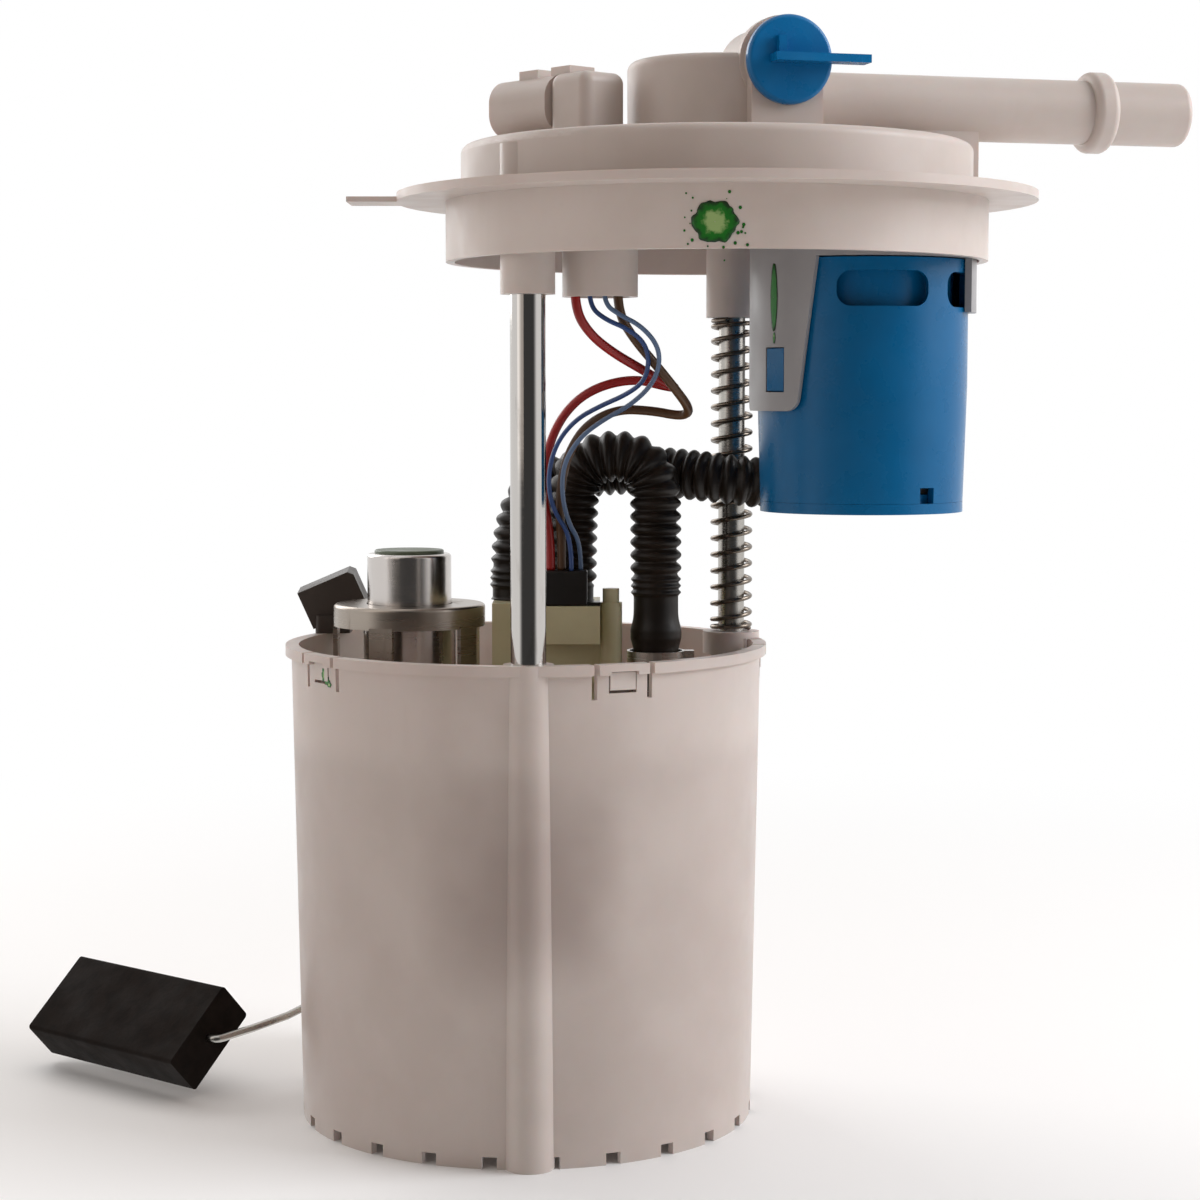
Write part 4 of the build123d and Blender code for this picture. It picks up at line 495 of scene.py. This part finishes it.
finishes = {
    "white_plastic": moulded("natural_acetal", srgb(204, 192, 185), srgb(184, 169, 160), 0.28, (0.34, 0.48),
                             subsurface_weight=0.12, subsurface_scale=0.003, specular_ior_level=0.35),
    "cream_plastic": moulded("cream_acetal", srgb(202, 194, 158), srgb(172, 162, 126), 0.3, (0.34, 0.46),
                             subsurface_weight=0.15, subsurface_scale=0.003, specular_ior_level=0.3),
    "blue_plastic": moulded("blue_acetal", srgb(0, 94, 144), srgb(0, 78, 122), 0.35, (0.24, 0.34),
                            specular_ior_level=0.25),
    "black_plastic": moulded("black_nylon", srgb(20, 16, 14), srgb(36, 31, 28), 0.4, (0.28, 0.45),
                             specular_ior_level=0.4),
    "grey_plastic": moulded("sensor_nylon", srgb(62, 53, 48), srgb(84, 74, 67), 0.4, (0.35, 0.55),
                            specular_ior_level=0.35),
    "hose_black": moulded("hose_nylon", srgb(27, 21, 16), srgb(54, 43, 34), 0.4, (0.36, 0.52),
                          stain_scale=90.0, specular_ior_level=0.28),
    "steel": drawn("zinc_plate", srgb(176, 172, 166), srgb(120, 114, 106), (0.24, 0.42)),
    "rod_chrome": drawn("rod_plate", srgb(196, 192, 188), srgb(160, 154, 148), (0.07, 0.16), lines=500.0,
                        strength=0.1),
    "copper": drawn("copper_and_brass", srgb(190, 128, 78), srgb(120, 76, 46), (0.25, 0.45)),
    "magnet": moulded("ferrite", srgb(52, 50, 50), srgb(34, 32, 32), 0.6, (0.5, 0.7)),
    "rubber": moulded("valve_rubber", srgb(38, 36, 35), srgb(60, 57, 54), 0.35, (0.5, 0.7)),
    "paper": moulded("filter_paper", srgb(206, 186, 140), srgb(168, 146, 100), 0.5, (0.75, 0.9), bump=0.0001),
    "sock": moulded("sock_weave", srgb(214, 212, 202), srgb(176, 172, 158), 0.4, (0.7, 0.85), grain=2600.0,
                    bump=0.0001, strength=0.8),
    "float_foam": moulded("nitrile_foam", srgb(30, 23, 19), srgb(18, 14, 11), 0.6, (0.78, 0.92), grain=900.0,
                          stain_scale=240.0, bump=0.00012, strength=0.7, specular_ior_level=0.12),
    "red_insulation": moulded("red_wire_skin", srgb(158, 18, 14), srgb(110, 10, 8), 0.4, (0.3, 0.45)),
    "brown_insulation": moulded("brown_wire_skin", srgb(88, 58, 30), srgb(56, 36, 20), 0.4, (0.35, 0.5)),
    "blue_insulation": moulded("blue_wire_skin", srgb(44, 74, 130), srgb(26, 48, 92), 0.4, (0.3, 0.45)),
    "grey_insulation": moulded("pale_blue_wire_skin", srgb(86, 108, 140), srgb(60, 76, 104), 0.4,
                               (0.3, 0.45)),
    "ceramic": moulded("resistor_card", srgb(226, 222, 212), srgb(186, 178, 160), 0.4, (0.2, 0.35)),
}
node_slot = {row["node"]: row["material_slot"] for row in frame["record"]["subparts"]}


def dress(piece, material):
    """Gives a piece or a CAD node its one material."""
    piece.data.materials.clear()
    piece.data.materials.append(material)
    return piece


for node, cad_piece in nodes.items():
    dress(cad_piece, finishes[node_slot[node]])


# The bucket's finish with painted shade: the pump, canister and front rod's channel are painted darker on its
# wall, as if they showed through it, but not in its top band

BAND_Z = 0.0955
BAND_EDGE = (BAND_Z - 0.008, BAND_Z + 0.001, 1.0, 0.0)
FLOOR_EDGE = (0.004, 0.016, 0.5, 1.0)
CANISTER_SHADE = (0.026, 0.07, 0.55, 0.0)
PUMP_SHADE = (0.034, 0.064, 0.45, 0.0)
CHANNEL_SHADE = (0.008, 0.032, 1.0, 0.0)
CHANNEL_Z = 0.066
CHANNEL_FADE = (0.008, 0.034, 1.0, 0.0)
CLOUD_SCALE = 26.0
CLOUD_SHIFT = (0.2, 0.8, -0.006, 0.006)
SHADE_SHARE = 0.62
SHADE_COLOUR = srgb(150, 132, 125)


def distance_from(tree, place, spot):
    """How far the point is from the vertical line through spot."""
    node = tree.nodes.new("ShaderNodeVectorMath")
    node.operation = "DISTANCE"
    flat = stretched(tree, place, (1.0, 1.0, 0.0))
    tree.links.new(flat, node.inputs[0])
    node.inputs[1].default_value = (*spot.tolist(), 0.0)
    return node.outputs["Value"]


def bucket_finish_painted_shade():
    """Natural plastic with painted shade: soft dark shapes where the contents lie close behind the wall."""
    material = moulded("bucket_acetal_painted_shade", srgb(201, 188, 181), srgb(180, 165, 157), 0.28, (0.34, 0.46),
                       subsurface_weight=0.12, subsurface_scale=0.004, specular_ior_level=0.35)
    tree = material.node_tree
    principled = tree.nodes["Principled BSDF"]
    base = principled.inputs["Base Color"].links[0].from_socket
    place = tree.nodes.new("ShaderNodeTexCoord").outputs["Object"]
    parts = tree.nodes.new("ShaderNodeSeparateXYZ")
    tree.links.new(place, parts.inputs[0])
    height = parts.outputs["Z"]
    cloud = ramp(tree, noise(tree, place, CLOUD_SCALE, detail=3.0), *CLOUD_SHIFT)
    canister = ramp(tree, maths(tree, "ADD", distance_from(tree, place, FILTER), cloud), *CANISTER_SHADE)
    pump = ramp(tree, maths(tree, "ADD", distance_from(tree, place, PUMP), cloud), *PUMP_SHADE)
    channel = ramp(tree, maths(tree, "ADD", distance_from(tree, place, FRONT_ROD), cloud), *CHANNEL_SHADE)
    clouded = maths(tree, "ADD", height, cloud)
    from_middle = maths(tree, "ABSOLUTE", maths(tree, "SUBTRACT", clouded, CHANNEL_Z))
    channel = maths(tree, "MULTIPLY", channel, ramp(tree, from_middle, *CHANNEL_FADE))
    # Painted shade: the darkest of the three shapes, kept below the top band and lighter near the floor
    inside = maths(tree, "MAXIMUM", maths(tree, "MAXIMUM", canister, pump), channel)
    below = ramp(tree, height, *BAND_EDGE)
    above_floor = ramp(tree, height, *FLOOR_EDGE)
    share = maths(tree, "MULTIPLY", maths(tree, "MULTIPLY", inside, below), above_floor)
    share = maths(tree, "MULTIPLY", share, SHADE_SHARE)
    shaded = blended(tree, share, base, SHADE_COLOUR)
    tree.links.new(shaded, principled.inputs["Base Color"])
    return material


dress(nodes["reservoir"], bucket_finish_painted_shade())
# Painted shadow: the valve bracket's plastic is given a darker grey, standing for the skirt's shadow over it
bracket_acetal_painted_shadow = moulded("bracket_acetal_painted_shadow", srgb(152, 150, 151), srgb(132, 129, 130), 0.25, (0.34, 0.48),
                         specular_ior_level=0.35)
dress(nodes["valve_bracket"], bracket_acetal_painted_shadow)
retainer_steel = drawn("retainer_steel", srgb(158, 148, 138), srgb(92, 78, 66), (0.26, 0.44))
dress(nodes["regulator_retainer"], retainer_steel)
regulator_steel = drawn("regulator_steel", srgb(200, 194, 190), srgb(146, 136, 130), (0.2, 0.32), lines=420.0)
dress(nodes["regulator_body"], regulator_steel)
screen_green = moulded("screen_green", srgb(98, 108, 86), srgb(62, 70, 54), 0.5, (0.35, 0.5))
dress(nodes["regulator_cap"], screen_green)
plug_blue = moulded("plug_blue", srgb(0, 112, 172), srgb(0, 88, 146), 0.4, (0.24, 0.36),
                    specular_ior_level=0.4)
dress(nodes["dust_plug"], plug_blue)


# The sender: curved resistor tracks on the card, and stiffening ribs on the bracket behind it

SENDER_OUT = np.array((-0.5736, 0.8192))
SENDER_ALONG = np.array((-0.8192, -0.5736))
PIVOT_ALONG = -0.022
PIVOT_Z = 0.026
TRACKS = ((0.0125, 0.0030), (0.0185, 0.0022))
RIB_FACE = 0.0589
RIB_PROUD = 0.0009
RIB_W = 0.0014
RIB_LOW = 0.074
RIB_HIGH = 0.109
RIB_STEPS = np.linspace(-0.0285, 0.0175, 6)
RIB_OUTLINE = ((-0.5, -0.3), (-0.5, 0.7), (-0.25, 1.0), (0.25, 1.0), (0.5, 0.7), (0.5, -0.3))
RIB_CROWN = (0.2, 1.0, 1.0, 0.2)
TRACK_EDGE = 0.0001
TRACK_COLOUR = srgb(38, 40, 38)


def sender_point(along, out, z):
    """Points on the sender's upright face, from distances along it, out from the middle, and up."""
    along, out, z = np.broadcast_arrays(along, out, z)
    flat = along[..., None] * SENDER_ALONG + out[..., None] * SENDER_OUT
    return np.concatenate((flat, z[..., None]), -1)


def card_finish():
    """Ceramic with two dark resistor tracks curved about the arm's pivot."""
    material = moulded("resistor_card_tracks", srgb(226, 222, 212), srgb(196, 190, 174), 0.3, (0.2, 0.35))
    tree = material.node_tree
    principled = tree.nodes["Principled BSDF"]
    base = principled.inputs["Base Color"].links[0].from_socket
    place = tree.nodes.new("ShaderNodeTexCoord").outputs["Object"]
    span = tree.nodes.new("ShaderNodeVectorMath")
    span.operation = "DISTANCE"
    span.inputs[1].default_value = sender_point(PIVOT_ALONG, RIB_FACE, PIVOT_Z).tolist()
    tree.links.new(place, span.inputs[0])
    for radius, width in TRACKS:
        off = maths(tree, "ABSOLUTE", maths(tree, "SUBTRACT", span.outputs["Value"], radius + width / 2))
        band = ramp(tree, off, width / 2 - TRACK_EDGE, width / 2 + TRACK_EDGE, 1.0, 0.0)
        base = blended(tree, band, base, TRACK_COLOUR)
    tree.links.new(base, principled.inputs["Base Color"])
    return material


def upright_ribs(name, alongs):
    """Straight ribs up a flat face: each is an outline of feet, shoulders and crown, in shares of the rib's
    width and height, carried from its low end to its high end, with the ends drawn in to a slope."""
    outline = np.array(RIB_OUTLINE)
    heights = np.array((RIB_LOW, RIB_LOW + RIB_PROUD, RIB_HIGH - RIB_PROUD, RIB_HIGH))
    crown = np.array(RIB_CROWN)
    pieces = []
    for i, along in enumerate(alongs.tolist()):
        out = RIB_FACE + RIB_PROUD * np.minimum(outline[None, :, 1], crown[:, None])
        rings = sender_point(along + RIB_W * outline[None, :, 0], out, heights[:, None])
        pieces.append(capped(f"{name}_{i + 1}", rings))
    return pieces


dress(nodes["sensor_card"], card_finish())
for rib in upright_ribs("sensor_bracket_rib", RIB_STEPS):
    rib.data.polygons.foreach_set("use_smooth", np.zeros(len(rib.data.polygons), bool))
    dress(rib, finishes["white_plastic"])
    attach(rib, "reservoir_group")


# Hoses: rings of rounded ribs along the route, with smooth cuffs and fine ridges near the ends

RIB_PITCH = 0.0031
RIB_VALLEY = 0.0049
CUFF_R = 0.0054
CUFF_EDGE = 0.0012
RIB_ROUNDING = 0.6
HOSE_STEP = 0.0003
HOSE_SIDES = 32
RIDGE_PITCH = 0.0016
RIDGE = (0.0005, 0.0007)
RIDGES = 3
PUMP_CUFFS = ((0.0, 0.004), (-0.028, 0.0))
PUMP_SWELLING = (-0.0135, 0.0028, 0.0009)
PUMP_RIDGES_AT = -0.0235
COVER_CUFFS = ((0.0, 0.009), (-0.014, 0.0))
COVER_RIDGES_AT = 0.0035


def hose_radii(stations, cuffs, bulges):
    """Rib crests every pitch, as valley + depth x (half of one plus the cosine)^rounding; inside a cuff
    (start, end) the plain cuff radius; a bulge (place, reach, rise) adds a rounded swelling."""
    wave = 0.5 + 0.5 * np.cos(2 * math.pi * stations / RIB_PITCH)
    radii = RIB_VALLEY + (HOSE_R - RIB_VALLEY) * wave ** RIB_ROUNDING
    for start, end in cuffs:
        inside = np.clip(np.minimum(stations - start, end - stations) / CUFF_EDGE + 0.5, 0, 1)
        radii = radii * (1 - inside) + CUFF_R * inside
    for spot, reach, rise in bulges:
        radii = radii + rise * np.exp(-((stations - spot) / reach) ** 2)
    return np.minimum(radii, HOSE_R)


def hose(name, node, route, cuffs, bulges):
    """A corrugated hose along a route."""
    line, stations = cord_line(name, route, HOSE_STEP)
    ends = [(a if a >= 0 else stations[-1] + a, b if b > 0 else stations[-1] + b) for a, b in cuffs]
    spots = [(s if s >= 0 else stations[-1] + s, reach, rise) for s, reach, rise in bulges]
    piece = tube(name, line, hose_radii(stations, ends, spots), HOSE_SIDES)
    dress(piece, finishes["hose_black"])
    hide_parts(node)
    return piece, line


pump_ridges = [(PUMP_RIDGES_AT - RIDGE_PITCH * i, *RIDGE) for i in range(RIDGES)]
pump_hose_piece = hose(
    "pump_hose_ribbed", "pump_hose", PUMP_HOSE_ROUTE, PUMP_CUFFS, [PUMP_SWELLING, *pump_ridges])[0]
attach(pump_hose_piece, "reservoir_group")
cover_ridges = [(COVER_RIDGES_AT + RIDGE_PITCH * i, *RIDGE) for i in range(RIDGES)]
cover_hose_piece, cover_line = hose(
    "cover_hose_ribbed", "cover_hose", COVER_HOSE_ROUTE, COVER_CUFFS, cover_ridges)
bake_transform(cover_hose_piece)


# Wires; the power leads are a little thicker than in the CAD source

POWER_WIRE_R = 0.00108
SIGNAL_WIRE_R = 0.00055
WIRE_STEP = 0.0006
WIRE_SIDES = 12


def wire(name, node, route, radius, slot):
    """A plain insulated wire along a route, hanging between the cover and the pump's plug."""
    line, stations = cord_line(name, route, WIRE_STEP)
    piece = tube(name, line, np.full(len(line), radius), WIRE_SIDES)
    dress(piece, finishes[slot])
    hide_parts(node)
    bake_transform(piece)


for lead in (
    ("red_lead", "red_wire", RED_ROUTE, POWER_WIRE_R, "red_insulation"),
    ("brown_lead", "brown_wire", BROWN_ROUTE, POWER_WIRE_R, "brown_insulation"),
    ("blue_lead", "blue_wire", BLUE_ROUTE, SIGNAL_WIRE_R, "blue_insulation"),
    ("pale_blue_lead", "grey_wire", GREY_ROUTE, SIGNAL_WIRE_R, "grey_insulation"),
):
    wire(*lead)


# The spring on the rear rod

COIL_R = 0.0047
COIL_WIRE_R = 0.00055
COIL_PITCH = 0.0042
COIL_STEPS = 40
COIL_SIDES = 10
CLOSED_TURNS = 3
CLOSED_FROM = 0.75


def coil_spring(name, centre, low, high):
    """A round wire wound at a steady pitch, closing to touching turns in the first and last turn."""
    inner = high - low - 2 * COIL_WIRE_R
    turns = (inner - 4 * COIL_WIRE_R) / COIL_PITCH + CLOSED_TURNS
    turn = np.linspace(0, turns, round(turns * COIL_STEPS) + 1)
    to_end = np.minimum(turn, turns - turn)
    pitch = 2 * COIL_WIRE_R + (COIL_PITCH - 2 * COIL_WIRE_R) * np.clip(to_end - CLOSED_FROM, 0, 1)
    climb = np.concatenate(((0,), np.cumsum((pitch[1:] + pitch[:-1]) / 2 * np.diff(turn))))
    z = low + COIL_WIRE_R + climb * inner / climb[-1]
    angle = 2 * math.pi * turn
    line = np.column_stack((centre[0] + COIL_R * np.cos(angle), centre[1] + COIL_R * np.sin(angle), z))
    return tube(name, line, np.full(len(line), COIL_WIRE_R), COIL_SIDES)


spring_wire = drawn("spring_wire", srgb(122, 112, 102), srgb(74, 66, 58), (0.25, 0.42), lines=800.0)
coil = dress(coil_spring("rod_coil", REAR_ROD, SPRING_LOW, SPRING_HIGH), spring_wire)
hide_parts("rod_spring")
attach(coil, "reservoir_group")
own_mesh(coil)


# The regulator's spring gets a mesh of its own; in the object its valve presses it up against the roof

regulator_coil = nodes["regulator_spring"]
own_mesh(regulator_coil)


# Paint marks

PAINT_T = 0.00012
BLOT_ROWS = 7
BLOT_SIDES = 60
BLOT_HOLE = 0.02
MOTTLE_SCALE = 900.0
MOTTLE = (0.3, 0.7, -0.1, 0.1)
PAINT_COLOURS = (srgb(150, 178, 112), srgb(4, 112, 12), srgb(2, 48, 6))
PAINT_THICKENS = (0.34, 0.62)
PAINT_DARKENS = (0.72, 1.0)
PAINT_GLOSS = (0.0, 1.0, 0.3, 0.5)


def paint_finish():
    """Green marking paint, pale where it is thin in the middle and dark where it has run to the edge."""
    material = bpy.data.materials.new("marking_paint")
    material.use_nodes = True
    tree = material.node_tree
    principled = tree.nodes["Principled BSDF"]
    rim = tree.nodes.new("ShaderNodeAttribute")
    rim.attribute_name = "rim"
    place = tree.nodes.new("ShaderNodeTexCoord").outputs["Object"]
    mottle = ramp(tree, noise(tree, place, MOTTLE_SCALE), *MOTTLE)
    share = maths(tree, "ADD", rim.outputs["Fac"], mottle)
    inner = blended(tree, ramp(tree, share, *PAINT_THICKENS), *PAINT_COLOURS[:2])
    outer = blended(tree, ramp(tree, share, *PAINT_DARKENS), inner, PAINT_COLOURS[2])
    tree.links.new(outer, principled.inputs["Base Color"])
    tree.links.new(ramp(tree, share, *PAINT_GLOSS), principled.inputs["Roughness"])
    return material


def paint_blots(name, centre, radius, blots, body):
    """Flat drops of paint on an upright cylinder. A blot is (angle in degrees, z, half width, half height,
    rag, rim), and its edge is 1 + rag x (cos 6a + half of sin 11a + a third of cos 17a) of its half sizes."""
    a = np.linspace(0, 2 * math.pi, BLOT_SIDES, endpoint=False)
    points, quads, rims = [], [], []
    for angle, z, wide, tall, rag, rim in blots:
        edge = 1 + rag * (np.cos(6 * a) + 0.5 * np.sin(11 * a + 1) + 0.33 * np.cos(17 * a + angle))
        reach = np.concatenate((np.linspace(BLOT_HOLE, 1, BLOT_ROWS), (1.0,)))[:, None]
        across = reach * edge * wide * np.cos(a)
        up = reach * edge * tall * np.sin(a)
        lift = np.full((BLOT_ROWS + 1, 1), PAINT_T)
        lift[-1] = -PAINT_T
        bow = math.radians(angle) + across / radius
        ring = np.stack((
            centre[0] + (radius + lift) * np.cos(bow),
            centre[1] + (radius + lift) * np.sin(bow),
            z + up,
        ), -1)
        quads.append(grid_faces(BLOT_ROWS + 1, BLOT_SIDES) + sum(len(p) for p in points))
        points.append(ring.reshape(-1, 3))
        rims.append(np.maximum(rim, np.repeat(reach, BLOT_SIDES, 1)).ravel())
    piece = new_piece(name, np.concatenate(points), np.concatenate(quads)[:, ::-1])
    rim_layer = piece.data.attributes.new("rim", "FLOAT", "POINT")
    rim_layer.data.foreach_set("value", np.concatenate(rims).astype(np.float32))
    dress(piece, green_paint)
    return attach(piece, body)


green_paint = paint_finish()
DAB_ANGLE = 252.3
DAB_Z = 0.2113
DAB_R = 0.0048
DAB_TALL = 0.92
DAB_RAG = 0.055
DAB = (DAB_ANGLE, DAB_Z, DAB_R, DAB_R * DAB_TALL, DAB_RAG, 0.0)
DROPS = 22
DROP_SEED = 4
DROP_THROW = (1.08, 0.75)
DROP_SIZES = (0.0001, 0.00036)
DROP_TALL = 1.1
DROP_EDGE = (0.06, 0.75)
BRACKET_STRIPE = ((199.7, 0.1972, 0.0012, 0.0078, 0.02, 0.7), (200.0, 0.1880, 0.0004, 0.0013, 0.05, 0.5))
LATCH_PAINT_R = 0.0569
LATCH_DROPS = (
    (201.3, 0.1105, 0.0009, 0.0016, 0.12, 0.45),
    (202.6, 0.1092, 0.0011, 0.0009, 0.16, 0.6),
    (203.6, 0.1084, 0.0008, 0.0006, 0.1, 0.3),
)
rng = np.random.default_rng(DROP_SEED)
splash = rng.uniform(0, 2 * math.pi, DROPS)
throw = DROP_THROW[0] + DROP_THROW[1] * rng.uniform(0, 1, DROPS) ** 2
drop = rng.uniform(*DROP_SIZES, DROPS)
angles = DAB_ANGLE + np.degrees(DAB_R * throw * np.cos(splash) / SKIRT_R)
heights = DAB_Z + DAB_R * throw * np.sin(splash)
drops = [
    (angle, height, size, size * DROP_TALL, *DROP_EDGE)
    for angle, height, size in zip(angles.tolist(), heights.tolist(), drop.tolist())
]
paint_blots("skirt_paint", COVER, SKIRT_R, [DAB, *drops], "cover_group")
paint_blots("bracket_paint", VENT, BRACKET_R, BRACKET_STRIPE, "cover_group")
paint_blots("latch_paint", np.zeros(2), LATCH_PAINT_R, LATCH_DROPS, "reservoir_group")


# Stage and light

FLOOR_REACH = 4.0
FLOOR_FADE = (0.16, 0.6)
FLOOR_SHADE = 0.93
FLOOR_ROUGHNESS = 0.6
AMBIENT_COLOUR = (1, 0.935, 0.89, 1)
AMBIENT = (-0.7, 0.6, 0.21, 0.86)
MIRRORED = (-0.82, -0.45, 0.06, 1.0)
AIM = (0.02, -0.02, 0.13)
LAMPS = (
    ("key", (0.85, -0.35, 0.6), 0.6, 7.6, (0.94, 0.965, 1)),
    ("fill", (-0.8, -0.45, 0.5), 0.8, 1.0, (1, 0.9, 0.82)),
    ("back", (-0.5, 0.95, 0.6), 0.8, 5.0, (1, 1, 1)),
)


def pale_floor():
    """A broad floor that takes the object's shadow near it and fades to the background's white far off."""
    corners = FLOOR_REACH * np.array(((-1.0, -1.0, 0), (1.0, -1.0, 0), (1.0, 1.0, 0), (-1.0, 1.0, 0)))
    floor = new_piece("floor", corners, np.array(((0, 1, 2, 3),)))
    material = bpy.data.materials.new("pale_floor")
    material.use_nodes = True
    tree = material.node_tree
    principled = tree.nodes["Principled BSDF"]
    principled.inputs["Base Color"].default_value = (FLOOR_SHADE, FLOOR_SHADE, FLOOR_SHADE, 1)
    principled.inputs["Roughness"].default_value = FLOOR_ROUGHNESS
    place = tree.nodes.new("ShaderNodeTexCoord").outputs["Object"]
    far = ramp(tree, distance_from(tree, place, np.zeros(2)), *FLOOR_FADE)
    glow = tree.nodes.new("ShaderNodeEmission")
    either = tree.nodes.new("ShaderNodeMixShader")
    rays = tree.nodes.new("ShaderNodeLightPath")
    tree.links.new(maths(tree, "MULTIPLY", far, rays.outputs["Is Camera Ray"]), either.inputs["Fac"])
    tree.links.new(principled.outputs[0], either.inputs[1])
    tree.links.new(glow.outputs[0], either.inputs[2])
    tree.links.new(either.outputs[0], tree.nodes["Material Output"].inputs["Surface"])
    dress(floor, material)
    floor.visible_glossy = False


def white_world():
    """White where it is seen or mirrored, dimmer towards the camera's side, and soft light on the object."""
    world = bpy.data.worlds.new("studio")
    scene.world = world
    world.use_nodes = True
    tree = world.node_tree
    lit = tree.nodes["Background"]
    lit.inputs["Color"].default_value = AMBIENT_COLOUR
    seen = tree.nodes.new("ShaderNodeBackground")
    seen.inputs["Color"].default_value = (1, 1, 1, 1)
    rays = tree.nodes.new("ShaderNodeLightPath")
    away = tree.nodes.new("ShaderNodeVectorMath")
    away.operation = "DOT_PRODUCT"
    away.inputs[1].default_value = (math.sin(CAMERA_HEADING), math.cos(CAMERA_HEADING), 0)
    tree.links.new(tree.nodes.new("ShaderNodeTexCoord").outputs["Generated"], away.inputs[0])
    tree.links.new(ramp(tree, away.outputs["Value"], *AMBIENT), lit.inputs["Strength"])
    mirrored = ramp(tree, away.outputs["Value"], *MIRRORED)
    strength = maths(tree, "MAXIMUM", mirrored, rays.outputs["Is Camera Ray"])
    tree.links.new(strength, seen.inputs["Strength"])
    either = tree.nodes.new("ShaderNodeMixShader")
    shown = maths(tree, "MAXIMUM", rays.outputs["Is Camera Ray"], maths(
        tree, "MAXIMUM", rays.outputs["Is Glossy Ray"], rays.outputs["Is Transmission Ray"]))
    tree.links.new(shown, either.inputs["Fac"])
    tree.links.new(lit.outputs[0], either.inputs[1])
    tree.links.new(seen.outputs[0], either.inputs[2])
    tree.links.new(either.outputs[0], tree.nodes["World Output"].inputs["Surface"])


def soft_lamp(name, place, size, power, colour):
    """A square area lamp that faces the middle of the object."""
    data = bpy.data.lights.new(name, "AREA")
    data.size = size
    data.energy = power
    data.color = colour
    lamp = bpy.data.objects.new(name, data)
    scene.collection.objects.link(lamp)
    lamp.location = place
    aim = Vector(AIM) - lamp.location
    lamp.rotation_euler = aim.to_track_quat("-Z", "Y").to_euler()


pale_floor()
white_world()
for lamp in LAMPS:
    soft_lamp(*lamp)

scene.view_settings.view_transform = "Standard"
